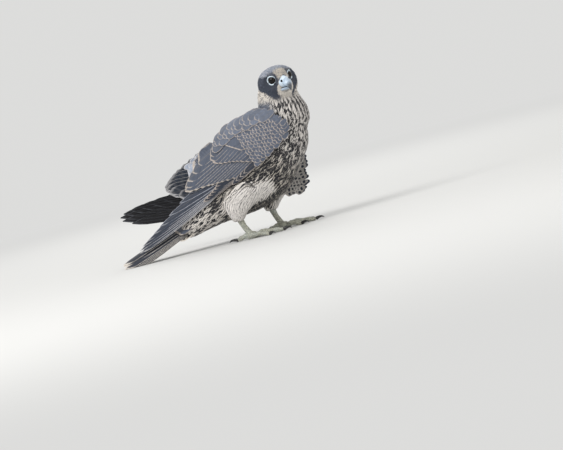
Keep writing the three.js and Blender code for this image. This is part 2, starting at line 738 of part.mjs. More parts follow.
function build() {
  const parts = {};
  const trunk = trunkForm();
  const neck = neckForm();
  const headForm = loft(headRings(HEAD, 20, 2.1));
  const body = join([trunk, neck]);
  const bodyGrown = join([puffed(trunk, GAP), puffed(neck, GAP)]);
  const headGrown = toSolid(puffed(headForm, GAP));
  const { at, normal } = NECK_CUT;
  const back = normal.map((x) => -x);
  const legs = Object.entries(LEGS);

  parts.torso = [cut(body, halfSpace(at, normal, -GAP / 2)), 'cream'];
  parts.neck = [cut(body, halfSpace(at, back, -GAP / 2), headGrown), 'cream'];

  const cere = cereForm();
  const upper = billForm(BILL);
  const lower = loft(headRings(BILL_LOWER.map(([x, z, h, w]) => [x, z + h, z - h, w]), 12));
  const mouth = mouthSlit();
  parts.head = [cut(headSolid(), puffed(cere, GAP), mouth, puffed(lower, GAP), puffed(upper, GAP)), 'slate'];
  parts.cere = [cut(toSolid(cere), puffed(upper, GAP), puffed(lower, GAP), nostril(1), nostril(-1)), 'cere'];
  parts.bill_upper = [cut(toSolid(upper), mouth), 'bill'];
  parts.bill_lower = [cut(toSolid(lower), puffed(upper, GAP), mouth), 'bill'];
  parts.eye_right = [toSolid(eyeForm(-1)), 'eye'];
  parts.eye_left = [toSolid(eyeForm(1)), 'eye'];

  const flesh = [bodyGrown, headGrown];
  const grown = (forms) => forms.map((form) => puffed(form, GAP * 1.6));
  const coverts = wingRightCore();
  const secondaryRoot = wingRightSecondaryRoot();
  const primaryRoot = wingRightPrimaryRoot();
  const leftCoverts = wingLeftCore();
  const leftPrimaryRoot = wingLeftPrimaryRoot();
  parts.wing_right_coverts = [cut(join([...coverts, ...wingRightCoverts()]), ...flesh), 'slate'];
  parts.wing_right_secondaries = [
    cut(join([secondaryRoot, ...wingRightSecondaries()]), ...flesh, ...grown(coverts)), 'slate'];
  parts.wing_right_primaries = [
    cut(join([primaryRoot, ...wingRightPrimaries()]), ...flesh, ...grown([...coverts, secondaryRoot])), 'slateDark'];
  parts.wing_left_coverts = [cut(join([...leftCoverts, ...wingLeftCoverts()]), ...flesh), 'buff'];
  parts.wing_left_secondaries = [
    cut(join([wingLeftSecondaryRoot(), ...wingLeftSecondaries()]), ...flesh, ...grown(leftCoverts)), 'slate'];
  parts.wing_left_primaries = [
    cut(join([leftPrimaryRoot, ...wingLeftPrimaries()]), ...flesh, ...grown(leftCoverts)), 'slateDark'];
  parts.tail = [cut(join([tailCore(), ...tailVanes()]), ...flesh), 'slateDark'];

  const wings = [
    ...grown([...coverts, ...leftCoverts, leftPrimaryRoot]),
    slab(wingRight, 56, 200, (l) => table(WING_R_LOW, l) - 7, () => 42, () => -14, () => 4, 8, 4),
    slab(wingLeft, -60, 34, () => 44, () => 128, () => -5, () => 6, 5, 4),
  ];
  legs.forEach(([side, leg]) => {
    parts[`thigh_${side}`] = [cut(toSolid(thighForm(leg)), ...flesh, ...wings), 'cream'];
    parts[`tarsus_${side}`] = [cut(toSolid(shankForm(leg)), puffed(thighForm(leg), GAP)), 'leg'];
    parts[`foot_${side}`] = [cut(footForm(leg), puffed(shankForm(leg), GAP)), 'leg'];
    Object.keys(TOES).forEach((name) => {
      parts[`claw_${side}_${name}`] = [cut(toSolid(clawForm(leg, name)), ...Object.keys(TOES).map((other) =>
        puffed(rod(toeRows(leg, other).rows, 8, [0, 0, 1]), GAP))), 'claw'];
    });
  });
  return parts;
}

const parts = build();
const bird = new THREE.Group();
Object.entries(parts).forEach(([name, [solid, colour]]) => {
  const shiny = colour === 'eye' || colour === 'claw' || colour === 'bill';
  const material = new THREE.MeshStandardMaterial({
    color: COLOURS[colour],
    roughness: shiny ? 0.25 : 0.85,
    metalness: 0,
  });
  const mesh = new THREE.Mesh(geometryOf(solid), material);
  mesh.name = name;
  bird.add(mesh);
});

// The bird stands with the middle of its outline over the origin.
const bounds = new THREE.Box3().setFromObject(bird);
const middle = bounds.getCenter(new THREE.Vector3());
bird.children.forEach((mesh) => {
  mesh.position.set(-middle.x, -middle.y, -bounds.min.z);
});

export default bird;
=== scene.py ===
import itertools
import math
from collections import namedtuple

import bmesh
import bpy
import numpy as np
from mathutils import Matrix, Vector
from mathutils.bvhtree import BVHTree

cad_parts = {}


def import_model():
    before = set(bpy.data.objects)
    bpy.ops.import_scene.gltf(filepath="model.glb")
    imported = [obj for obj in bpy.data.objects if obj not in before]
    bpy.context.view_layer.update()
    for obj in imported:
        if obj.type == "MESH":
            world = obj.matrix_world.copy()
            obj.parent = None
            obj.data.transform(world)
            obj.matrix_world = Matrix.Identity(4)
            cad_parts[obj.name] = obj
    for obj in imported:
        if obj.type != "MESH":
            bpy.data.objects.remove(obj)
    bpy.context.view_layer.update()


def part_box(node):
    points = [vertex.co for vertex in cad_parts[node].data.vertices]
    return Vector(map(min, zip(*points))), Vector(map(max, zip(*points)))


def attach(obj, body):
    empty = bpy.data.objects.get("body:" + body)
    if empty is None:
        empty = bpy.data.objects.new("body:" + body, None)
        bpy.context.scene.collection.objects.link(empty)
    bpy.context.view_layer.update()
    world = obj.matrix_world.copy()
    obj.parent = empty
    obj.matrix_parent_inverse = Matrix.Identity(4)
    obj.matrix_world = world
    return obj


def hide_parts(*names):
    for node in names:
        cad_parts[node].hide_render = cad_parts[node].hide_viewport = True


# Young peregrine falcon, still, life size. Layout numbers are millimetres in the bird's own
# frame (+X forward, +Y to its left, +Z up, floor at 0); MM turns them into metres.
MM = 0.001
FLOOR_GAP = 0.2
RNG = np.random.default_rng(11)

# Camera: the photograph's viewing angle, on a long lens.
VIEW_AZIMUTH = 15.0
VIEW_ELEVATION = 3.0
VIEW_ROLL = 15.0
VIEW_DISTANCE = 5.2
FRAME_WIDTH = 0.816
FRAME_CENTRE = (28.3, 14.5)
SENSOR_WIDTH = 36

# Studio: name, place, size, power and colour of each light, in metres and watts.
LIGHTS = [
    ("key", (-0.9, -1.6, 1.7), 1.2, 34, (1.0, 0.99, 0.98)),
    ("fill", (1.6, -1.2, 0.9), 1.6, 8, (1, 1, 1)),
    ("back", (-0.4, 1.7, 1.3), 1.2, 12, (1, 1, 1)),
]
LIGHT_AIM = (0, 0, 0.12)
WORLD_COLOUR = (0.80, 0.80, 0.79, 1)
WORLD_STRENGTH = 0.9
FLOOR_COLOUR = (0.66, 0.66, 0.65)
FLOOR_RADIUS = 30
FLOOR_FADE = (0.7, 2.6)

# The skin lies this far inside the solids, and deeper round the eyes; the feathers fill the difference.
BODY_COAT = 2.4
HEAD_COAT = 1.1
EYE_HOLLOW = 1.2
SKIN_VOXEL = 2.0

# Head frame: origin midway between the eyes.
EYE_MID = np.array([89.8, -18.0, 214.9])
HEAD_YAW = -55.5
HEAD_PITCH = 4.8
HEAD_ROLL = 4.4
EYE_RADIUS = 8.0
EYE_OPENING = 6.6
EYE_AT = (9.0, 16.2, 0.0)
EYE_AXIS = (0.66, 0.75, 0.04)
CORNEA_RISE = 0.55
CORNEA_EDGE = 0.72

# The bare ring round each eye, and the distance from the eye's axis at which feathers stop.
LID_HEIGHT = 0.86
LID_OUT = 0.5
LID_SEAT = 0.7
LID_RADIUS = 1.1
LID_THICKNESS = 1.0
LID_WAVE = 0.08
LID_EDGE = 8.2

# Bill, in the head frame: the nostrils, whose openings get painted shade, the dark tip, and the bare place
# that takes the bill.
NOSTRIL_FROM = (20.0, 4.4, -3.4)
NOSTRIL_TO = (29.0, 8.8, -3.4)
NOSTRIL_RIM = (1.55, 1.9)
BILL_TIP = (33, 40)
BILL_BACK = 18.2
BILL_LOW = -18
BILL_HIGH = 3.4
BILL_SIDE = 9.8

# The dark mask in side view: (x, z) down its rear edge, and (z, x) up its front edge. In the
# pairs after it a marking runs from none to full, or the other way.
MASK_REAR = [(-30, -7), (-18, -10), (-2.7, -17), (6.4, -27), (10, -32)]
MASK_FRONT = [(-33, 13.5), (-31, 12.5), (-21, 11), (-11.6, 15), (-6, 18), (0, 17.5), (5, 12)]
MASK_SIDE = (7.0, 9.5)
MASK_TOP = (5, 8.5)
MASK_BACK = (-34, -20)
EYE_PATCH = (9.5, 11.5)
CROWN_SLOPE = 0.16
CROWN_LOW = (1.0, 4.0)
HEAD_BACK = (22, 30)
HEAD_BACK_LOW = (-20, -8)
BROW_BACK = (11, 15)
BROW_LOW = (0, 3)
BROW_EYE = (9.5, 11)
CHEEK_FLECKS = 0.34

# Trunk axis, the heights at which the coat turns from trunk to neck to head, and the legs' share.
BODY_PITCH = 34.0
HEAD_START = (173, 190)
NECK_START = (118, 172)
NECK_FRONT = (20, 70)
NECK_BASE = 150
CHIN_LOW = (28, 36)
CHIN_HIGH = (184, 196)
LEG_TOP = 66
LEG_EASE = (0, 14)

# Streaks: their width at the trunk and the neck, dash length, and how dark the coat is along the body.
TRUNK_MIDDLE = 62
TRUNK_RADIUS = 50
TRUNK_STRIPE = 5.0
NECK_MIDDLE = (62, -6)
NECK_RADIUS = 30
NECK_STRIPE = 4.2
DASH_LENGTH = 15
STRIPE_BEND = 9
STREAK_CONTRAST = 0.72
DARK_SHARE = [(-60, 0.36), (-30, 0.50), (0, 0.92), (60, 0.98), (100, 0.84), (130, 0.68), (165, 0.55),
              (200, 0.46)]
DARK_BASE = 0.04
DARK_SIDE = 0.10
BODY_TIP = 0.04

# Spacing of the coat's feathers: along the body, on the shins, and from the nape to the face.
BODY_SPACING = [(-110, 2.9), (0, 3.3), (70, 3.1), (130, 2.5), (190, 1.8)]
SHIN_SPACING = 2.2
HEAD_SPACING = [(-30, 1.35), (-5, 1.1), (8, 0.85), (22, 0.7)]
SCATTER_CELL = 2.0

# A tier of flight feathers or large coverts: its roots and tips are polylines on the wing's sheet.
Tier = namedtuple("Tier", "count roots tips widths heights tilt bow", defaults=(0.0,))

# Right wing, folded: along from wrist to tip, across up its face; see wing_right().
WRIST = (96.0, -50.0, 143.0)
WING_SLOPE = 24.3
WING_R_SIDE = [(-5, 49), (0, 51), (40, 57), (100, 57), (150, 47), (200, 35), (250, 27), (310, 20)]
WING_R_ROLL = [(0, 60), (60, 68), (100, 66), (120, 62), (160, 54), (200, 44), (310, 40)]
WING_R_LOW = [(-4, 5.5), (0, 0.5), (11, -4.5), (46, -8.5), (89, -10), (122, -6.5), (153, -1.5), (180, 3.5)]
WING_R_HIGH = [(-4, 8), (0, 17), (5, 31), (12, 43), (23, 52), (40, 57), (60, 59), (80, 59), (99, 55),
               (121, 47), (150, 37)]
SCAPULAR_LOW = [(-6, 12), (11, 38), (28, 41), (39, 43), (65, 48), (93, 46)]
DOWN_LOW = [(120, 36)]
DOWN_HIGH = [(120, 56)]
PRIMARIES_R = Tier(
    10, [(95, 8), (110, 2), (128, -4)],
    [(188, 26), (215, 22), (249, 15), (268, 11), (287, 8), (301, 6), (308, 1), (298, -2)],
    (18, 12), (-7.8, -9.0), 0.12)
PRIMARY_COVERTS_R = Tier(
    9, [(60, 2), (85, -4), (110, -8)], [(150, 12), (140, 6), (150, 1), (163, -1), (176, -2)],
    (12, 9), (-5.6, -6.6), 0.06)
ALULA_R = Tier(4, [(38, -7), (60, -9)], [(96, -9), (122, -10.5)], (10, 9), (-2.8, -3.4), 0.05)
SECONDARIES_R = Tier(
    13, [(62, 4), (66, 16), (72, 30), (80, 44)],
    [(118, 0), (132, 6), (142, 11), (153, 15), (161, 19), (177, 25), (190, 30), (186, 36), (170, 44),
     (150, 50)],
    (20, 24), (-5.6, -3.6), 0.1, 2)
GREATER_R = Tier(
    14, [(30, -4), (50, 12), (70, 34), (84, 50)],
    [(66, -3), (76, 0), (85, 5), (95, 15), (104, 21), (114, 26), (125, 32), (128, 42), (118, 50)],
    (15, 21), (-3.0, -1.8), 0.1, 1)
MEDIAN_R = Tier(
    15, [(26, 2), (40, 16), (56, 34), (70, 52)],
    [(56, 6), (60, 14), (70, 19), (81, 23), (89, 34), (96, 43), (98, 53)],
    (13, 16), (-1.8, -0.8), 0.08, 1)

# Left wing, drooped: its sheet is read by the bird's X and Z.
WING_L_LOW = [(-230, 78), (-100, 72), (0, 70), (60, 62), (90, 52)]
WING_L_TOP = [(-230, 44), (-140, 34), (-45, 26), (0, 44), (30, 50), (90, 44)]
WRIST_L_LOW = [(-10, 96), (15, 72), (41, 48), (62, 45), (70, 54), (76, 80)]
WRIST_L_HIGH = [(-10, 130), (20, 136), (60, 142), (76, 138)]
WRIST_L_HEIGHTS = (-2.6, 3.2)
PRIMARIES_L = Tier(
    10, [(-20, 66), (0, 58), (20, 50)],
    [(-96, 85), (-130, 84), (-162, 82), (-186, 80), (-206, 78), (-222, 74), (-226, 67), (-210, 58)],
    (26, 19), (1.4, 4.2), -0.1)
SECONDARIES_L = Tier(
    14, [(-8, 70), (-4, 88), (4, 108), (14, 124)],
    [(-95, 72), (-118, 80), (-138, 92), (-139, 99), (-128, 108), (-116, 114), (-96, 123), (-75, 131),
     (-58, 136)],
    (22, 25), (-1.0, 0.6), -0.08)
INNER_L = Tier(
    12, [(40, 50), (36, 80), (36, 120)], [(-24, 56), (-30, 84), (-28, 128)], (16, 16), (-2.4, -2.4), -0.06)
GREATER_L = Tier(
    13, [(48, 52), (36, 84), (30, 126)], [(-58, 60), (-54, 84), (-40, 108), (-20, 132)],
    (18, 20), (3.0, 2.4), 0.06)
MEDIAN_L = Tier(
    13, [(58, 50), (50, 84), (46, 128)], [(-16, 56), (-14, 84), (-2, 108), (12, 132)],
    (15, 16), (3.6, 3.0), 0.06)

TAIL_ROOT = (-48.0, 0.0, 62.0)
TAIL_TIP = (-218.0, 0.0, 4.4)
TAIL_ROLL = 26.0
TAIL_ARCH = 90
TAIL_PAIRS = 6

# Colours, linear.
SLATE = (0.100, 0.118, 0.162)
SLATE_DARK = (0.029, 0.036, 0.054)
# INK is near black; on the left wing's primaries it also carries painted shade.
INK = (0.009, 0.009, 0.012)
BROWN = (0.018, 0.018, 0.023)
FRINGE = (0.44, 0.385, 0.345)
GREY_RIM = (0.36, 0.38, 0.44)
BUFF = (0.46, 0.40, 0.32)
CREAM = (0.62, 0.57, 0.50)
WHITE = (0.80, 0.76, 0.73)
BLUE_WHITE = (0.48, 0.53, 0.63)
SHAFT_COLOUR = (0.16, 0.14, 0.12)
DOWN_SHADE = (0.045, 0.050, 0.062)
PUPIL = (0.002, 0.002, 0.002)
IRIS = (0.006, 0.004, 0.003)
EYE_RIM = (0.004, 0.003, 0.003)
LID_DARK = (0.52, 0.62, 0.70)
LID_LIGHT = (0.70, 0.79, 0.85)
BILL_BLUE = (0.40, 0.50, 0.62)
BILL_BLACK = (0.020, 0.024, 0.034)
BILL_PALE = (0.55, 0.60, 0.64)
CERE_DARK = (0.52, 0.63, 0.76)
# Painted shade inside the nostril openings.
CERE_LIGHT = (0.68, 0.78, 0.86)
NOSTRIL_PAINTED_SHADE = (0.012, 0.013, 0.018)
SCALE_LIGHT = (0.50, 0.50, 0.40)
SCALE_DARK = (0.24, 0.24, 0.20)
SCALE_WASH = (0.40, 0.44, 0.42)
CLAW_BLACK = (0.008, 0.008, 0.009)
CLAW_WORN = (0.06, 0.055, 0.05)

# Width along a feather, from its root to its tip.
ROUND = [(0, 0.35), (0.2, 0.8), (0.5, 1), (0.75, 0.95), (0.9, 0.7), (0.97, 0.4), (1, 0.12)]
BROAD = [(0, 0.4), (0.15, 0.85), (0.6, 1), (0.85, 0.92), (0.94, 0.72), (0.985, 0.4), (1, 0.15)]
POINTED = [(0, 0.5), (0.25, 1), (0.55, 0.92), (0.8, 0.66), (0.94, 0.36), (1, 0.05)]
BLUNT = [(0, 0.5), (0.3, 1), (0.75, 0.94), (0.9, 0.66), (0.97, 0.34), (1, 0.06)]
LANCE = [(0, 0.5), (0.3, 1), (0.6, 0.9), (0.85, 0.55), (1, 0.06)]

# Bars on a vane are 12 mm apart. A feather is a patch of this size on its OFBake map.
BAR_TURN = math.tau / 12
BAKE_PATCH = 0.003


# Small maths.
def rad(degrees):
    return math.radians(degrees)


def unit(v):
    v = np.asarray(v, float)
    return v / np.maximum(np.linalg.norm(v, axis=-1, keepdims=True), 1e-9)


def turn_about(axis, vector, angle):
    return np.array(Matrix.Rotation(angle, 3, Vector(axis)) @ Vector(vector))


def smooth(x, low, high):
    t = np.clip((np.asarray(x, float) - low) / (high - low), 0, 1)
    return t * t * (3 - 2 * t)


def table(rows, x):
    return np.interp(x, [r[0] for r in rows], [r[1] for r in rows])


def blend(a, b, share):
    share = np.asarray(share, float)[..., None]
    return np.asarray(a, float) * (1 - share) + np.asarray(b, float) * share


def polyline(points, t):
    """The place at t, 0 to 1, on a polyline whose stretches count alike."""
    x = min(max(t, 0), 1) * (len(points) - 1)
    i = min(int(x), len(points) - 2)
    f = x - i
    return [points[i][k] * (1 - f) + points[i + 1][k] * f for k in (0, 1)]


# The head's and the body's own axes.
HEAD_FORWARD = np.array([
    math.cos(rad(HEAD_YAW)) * math.cos(rad(HEAD_PITCH)),
    math.sin(rad(HEAD_YAW)) * math.cos(rad(HEAD_PITCH)),
    -math.sin(rad(HEAD_PITCH)),
])
HEAD_LEVEL = (-math.sin(rad(HEAD_YAW)), math.cos(rad(HEAD_YAW)), 0)
HEAD_LEFT = turn_about(HEAD_FORWARD, HEAD_LEVEL, rad(HEAD_ROLL))
HEAD_UP = np.cross(HEAD_FORWARD, HEAD_LEFT)
HEAD_AXES = np.array([HEAD_FORWARD, HEAD_LEFT, HEAD_UP])
BODY_AXIS = np.array([math.cos(rad(BODY_PITCH)), 0, math.sin(rad(BODY_PITCH))])
BODY_UP = np.array([-math.sin(rad(BODY_PITCH)), 0, math.cos(rad(BODY_PITCH))])
TAIL_AXIS = unit(np.subtract(TAIL_TIP, TAIL_ROOT))
TAIL_SIDE = np.array([0, math.cos(rad(TAIL_ROLL)), math.sin(rad(TAIL_ROLL))])
TAIL_SIDE = unit(TAIL_SIDE - TAIL_AXIS * TAIL_SIDE.dot(TAIL_AXIS))
TAIL_UP = -np.cross(TAIL_AXIS, TAIL_SIDE)


def in_head(point):
    return EYE_MID + np.asarray(point, float) @ HEAD_AXES


def to_head(points):
    return (np.asarray(points, float) - EYE_MID) @ HEAD_AXES.T


def eye_place(side):
    axis = unit(np.array([EYE_AXIS[0], side * EYE_AXIS[1], EYE_AXIS[2]]) @ HEAD_AXES)
    centre = in_head((EYE_AT[0], side * EYE_AT[1], EYE_AT[2])) - axis * EYE_RADIUS
    return axis, centre


def eye_distance(points):
    """Distance from the nearer eye's outward axis."""
    far = 99.0
    reach = []
    for side in (1, -1):
        axis, centre = eye_place(side)
        out = points - centre
        along = out @ axis
        off = np.linalg.norm(out - along[..., None] * axis, axis=-1)
        reach.append(np.where(along > 0, off, far))
    return np.minimum(*reach)


# The sheets that flight feathers lie on.
def wing_right(along, across):
    c, s = math.cos(rad(WING_SLOPE)), math.sin(rad(WING_SLOPE))
    rise = np.minimum(np.maximum(across, 0) / table(WING_R_ROLL, along), 0.97)
    y = -table(WING_R_SIDE, along) * np.sqrt(1 - rise * rise)
    return np.stack([WRIST[0] - c * along - s * across, y, WRIST[2] - s * along + c * across], -1)


def wing_left(x, z):
    t = (z - 50) / 90
    bulge = 9 * np.maximum(0, 1 - (2 * t - 1) ** 2) * smooth(x, -60, 20)
    y = table(WING_L_LOW, x) * (1 - t) + table(WING_L_TOP, x) * t + bulge
    return np.stack([x, y, z], -1)


def tail_sheet(along, across):
    arch = -(across * across) / TAIL_ARCH
    return (np.array(TAIL_ROOT) + along[..., None] * TAIL_AXIS + across[..., None] * TAIL_SIDE
            + arch[..., None] * TAIL_UP)


def lifted(sheet, along, across, height):
    """Points at a height over a sheet; all the sheets face out against their own cross product."""
    step = 0.5
    d_along = sheet(along + step, across) - sheet(along - step, across)
    d_across = sheet(along, across + step) - sheet(along, across - step)
    return sheet(along, across) - unit(np.cross(d_along, d_across)) * np.asarray(height)[..., None]


# Node materials.
class Nodes:
    """A short way to write a material's node tree."""

    def __init__(self, name):
        self.material = bpy.data.materials.new(name)
        self.material.use_nodes = True
        self.tree = self.material.node_tree
        self.shader = self.tree.nodes["Principled BSDF"]

    def link(self, value, socket):
        if isinstance(value, bpy.types.NodeSocket):
            self.tree.links.new(value, socket)
        elif isinstance(value, (tuple, list)) and len(value) == 3 and socket.type == "RGBA":
            socket.default_value = (*value, 1)
        else:
            socket.default_value = value

    def node(self, kind, **inputs):
        made = self.tree.nodes.new(kind)
        for key, value in inputs.items():
            self.link(value, made.inputs[key.replace("_", " ")])
        return made

    def math(self, operation, a, b=0.0):
        made = self.tree.nodes.new("ShaderNodeMath")
        made.operation = operation
        self.link(a, made.inputs[0])
        self.link(b, made.inputs[1])
        return made.outputs[0]

    def plus(self, a, b):
        return self.math("ADD", a, b)

    def minus(self, a, b):
        return self.math("SUBTRACT", a, b)

    def times(self, a, b):
        return self.math("MULTIPLY", a, b)

    def step(self, value, low, high, out_low=0.0, out_high=1.0):
        made = self.tree.nodes.new("ShaderNodeMapRange")
        made.interpolation_type = "SMOOTHSTEP"
        for i, v in enumerate((value, low, high, out_low, out_high)):
            self.link(v, made.inputs[i])
        return made.outputs[0]

    def mix(self, share, a, b, kind="MIX"):
        made = self.tree.nodes.new("ShaderNodeMix")
        made.data_type = "RGBA"
        made.blend_type = kind
        self.link(share, made.inputs[0])
        self.link(a, made.inputs[6])
        self.link(b, made.inputs[7])
        return made.outputs[2]

    def attribute(self, name, output="Fac"):
        made = self.tree.nodes.new("ShaderNodeAttribute")
        made.attribute_name = name
        return made.outputs[output]

    def noise(self, vector, scale, detail=3.0, roughness=0.55):
        return self.node("ShaderNodeTexNoise", Vector=vector, Scale=scale, Detail=detail,
                         Roughness=roughness).outputs["Fac"]

    def position(self):
        return self.tree.nodes.new("ShaderNodeTexCoord").outputs["Object"]

    def bump(self, height, strength, distance):
        made = self.node("ShaderNodeBump", Height=height, Strength=strength, Distance=distance)
        self.link(made.outputs[0], self.shader.inputs["Normal"])

    def surface(self, color, **values):
        self.link(color, self.shader.inputs["Base Color"])
        for key, value in values.items():
            self.link(value, self.shader.inputs[key.replace("_", " ")])
        return self.material


def vane_fields(n):
    """Places on a feather: from shaft to edge, from root to tip, and along a barb in millimetres."""
    uv = n.tree.nodes.new("ShaderNodeUVMap")
    uv.uv_map = "Feather"
    split = n.node("ShaderNodeSeparateXYZ", Vector=uv.outputs[0])
    across = n.math("ABSOLUTE", n.times(n.minus(split.outputs[0], 0.5), 2.0))
    slant = n.times(n.times(across, n.attribute("width_mm")), 0.45)
    run = n.minus(n.times(split.outputs[1], n.attribute("length_mm")), slant)
    return across, split.outputs[1], run


def rim_share(n, across, upward, run, barbs):
    """Where a feather shows its rim colour: both edges, the tip, and its spots and bars."""
    wander = n.times(n.minus(barbs, 0.5), 0.34)
    past_edge = n.minus(n.plus(across, wander), n.minus(1.0, n.attribute("edge")))
    past_tip = n.minus(n.plus(upward, n.times(wander, 0.25)), n.minus(1.0, n.attribute("tip")))
    edges = n.step(past_edge, -0.07, 0.07)
    tips = n.step(n.plus(past_tip, n.times(n.times(across, across), 0.1)), -0.02, 0.03)
    # A spot is dark only just short of the tip; bars cross the vane along its barbs.
    spots = n.times(n.step(past_tip, -0.42, -0.34, 1.0, 0.0), n.attribute("spot"))
    wave = n.math("SINE", n.times(run, BAR_TURN))
    bars = n.times(n.step(wave, 0.1, 0.6), n.attribute("bars"))
    share = n.math("MAXIMUM", n.math("MAXIMUM", edges, tips), spots)
    return n.math("MAXIMUM", share, bars)


def plumage_material():
    """Each feather has a centre colour, an edge colour, and how far the edge colour reaches in."""
    n = Nodes("plumage")
    across, upward, run = vane_fields(n)
    # Barbs leave the shaft at a slant; their own lines are far finer than the vane.
    barb_at = n.node("ShaderNodeCombineXYZ", X=run, Y=n.times(across, 0.35), Z=n.attribute("seed"))
    barb_at = barb_at.outputs[0]
    barbs = n.noise(barb_at, 3.2, 2.0, 0.6)
    broad = n.noise(barb_at, 0.45, 2.0, 0.5)
    share = rim_share(n, across, upward, run, barbs)
    colour = n.mix(share, n.attribute("centre", "Color"), n.attribute("rim", "Color"))
    shade = n.times(n.step(barbs, 0.25, 0.75, 0.80, 1.12), n.step(broad, 0.3, 0.7, 0.86, 1.1))
    tint = n.node("ShaderNodeCombineXYZ", X=shade, Y=shade, Z=shade).outputs[0]
    colour = n.mix(1.0, colour, tint, "MULTIPLY")
    shaft = n.times(n.step(across, 0.02, 0.07, 1.0, 0.0), n.attribute("shaft"))
    colour = n.mix(n.times(shaft, 0.55), colour, SHAFT_COLOUR)
    n.bump(n.plus(barbs, n.times(shaft, 1.5)), 0.35, 0.0004)
    return n.surface(colour, Roughness=0.62, Sheen_Weight=0.05, Sheen_Roughness=0.5, Specular_IOR_Level=0.3)


def grained(name, scale, detail, strength, distance):
    """A new material with a fine grain, which also gives its relief."""
    n = Nodes(name)
    grain = n.noise(n.position(), scale, detail)
    n.bump(grain, strength, distance)
    return n, grain


def skin_material():
    n, spots = grained("under_down", 220.0, 4.0, 0.4, 0.0008)
    colour = n.mix(n.step(spots, 0.35, 0.65), n.attribute("under", "Color"), DOWN_SHADE)
    return n.surface(colour, Roughness=0.9, Sheen_Weight=0.2)


def eye_material():
    n = Nodes("falcon_eye")
    ring = n.attribute("rim")
    colour = n.mix(n.step(ring, 0.28, 0.33), PUPIL, IRIS)
    colour = n.mix(n.step(ring, 0.80, 0.92), colour, EYE_RIM)
    return n.surface(colour, Roughness=0.06, Specular_IOR_Level=0.22)


def lid_material():
    n, grain = grained("eye_ring", 2600.0, 3.0, 0.35, 0.0002)
    return n.surface(n.mix(n.step(grain, 0.3, 0.7), LID_DARK, LID_LIGHT), Roughness=0.5)


def bill_material():
    n, grain = grained("bill_horn", 900.0, 3.0, 0.15, 0.0002)
    colour = n.mix(n.attribute("reach"), BILL_BLUE, BILL_BLACK)
    colour = n.mix(n.step(grain, 0.35, 0.75, 0.0, 0.25), colour, BILL_PALE)
    return n.surface(colour, Roughness=0.28, Coat_Weight=0.25, Coat_Roughness=0.2)


def cere_material():
    n, grain = grained("cere_skin", 1500.0, 4.0, 0.3, 0.0003)
    colour = n.mix(n.step(grain, 0.3, 0.7), CERE_DARK, CERE_LIGHT)
    # Painted shade: the nostril openings are coloured near black for the shade inside them.
    colour = n.mix(n.attribute("nostril_shade"), colour, NOSTRIL_PAINTED_SHADE)
    return n.surface(colour, Roughness=0.45)


def leg_material():
    n = Nodes("leg_scales")
    cells = n.node("ShaderNodeTexVoronoi", Vector=n.position(), Scale=520.0)
    rim = n.step(cells.outputs["Distance"], 0.25, 0.6)
    wash = n.noise(n.position(), 60.0, 3.0)
    colour = n.mix(rim, SCALE_LIGHT, SCALE_DARK)
    colour = n.mix(n.step(wash, 0.4, 0.7, 0.0, 0.5), colour, SCALE_WASH)
    n.bump(n.minus(1.0, rim), 0.7, 0.0006)
    return n.surface(colour, Roughness=0.55)


def claw_material():
    n, grain = grained("claw_horn", 700.0, 3.0, 0.12, 0.0002)
    colour = n.mix(n.step(grain, 0.4, 0.8, 0.0, 0.5), CLAW_BLACK, CLAW_WORN)
    return n.surface(colour, Roughness=0.25, Coat_Weight=0.3, Coat_Roughness=0.15)


# Meshes from arrays.
def as_object(name, mesh):
    made = bpy.data.objects.new(name, mesh)
    bpy.context.scene.collection.objects.link(made)
    return made


def quad_mesh(name, verts, quads):
    mesh = bpy.data.meshes.new(name)
    mesh.from_pydata(verts, [], quads)
    mesh.validate()
    mesh.shade_smooth()
    return mesh


def read_rows(items, name, width=3):
    """A property of all a mesh's vertices, faces or corners, one row each."""
    values = np.empty(len(items) * width)
    items.foreach_get(name, values)
    return values.reshape(-1, width)


def put_uv(mesh, name, values):
    layer = mesh.uv_layers.new(name=name)
    layer.data.foreach_set("uv", values.astype(np.float32).reshape(-1))


def put_float(mesh, name, values):
    layer = mesh.attributes.new(name, "FLOAT", "POINT")
    layer.data.foreach_set("value", values.astype(np.float32))


def put_colour(mesh, name, colours):
    rgba = np.concatenate([colours, np.ones((len(colours), 1))], 1)
    layer = mesh.attributes.new(name, "FLOAT_COLOR", "POINT")
    layer.data.foreach_set("color", rgba.astype(np.float32).reshape(-1))


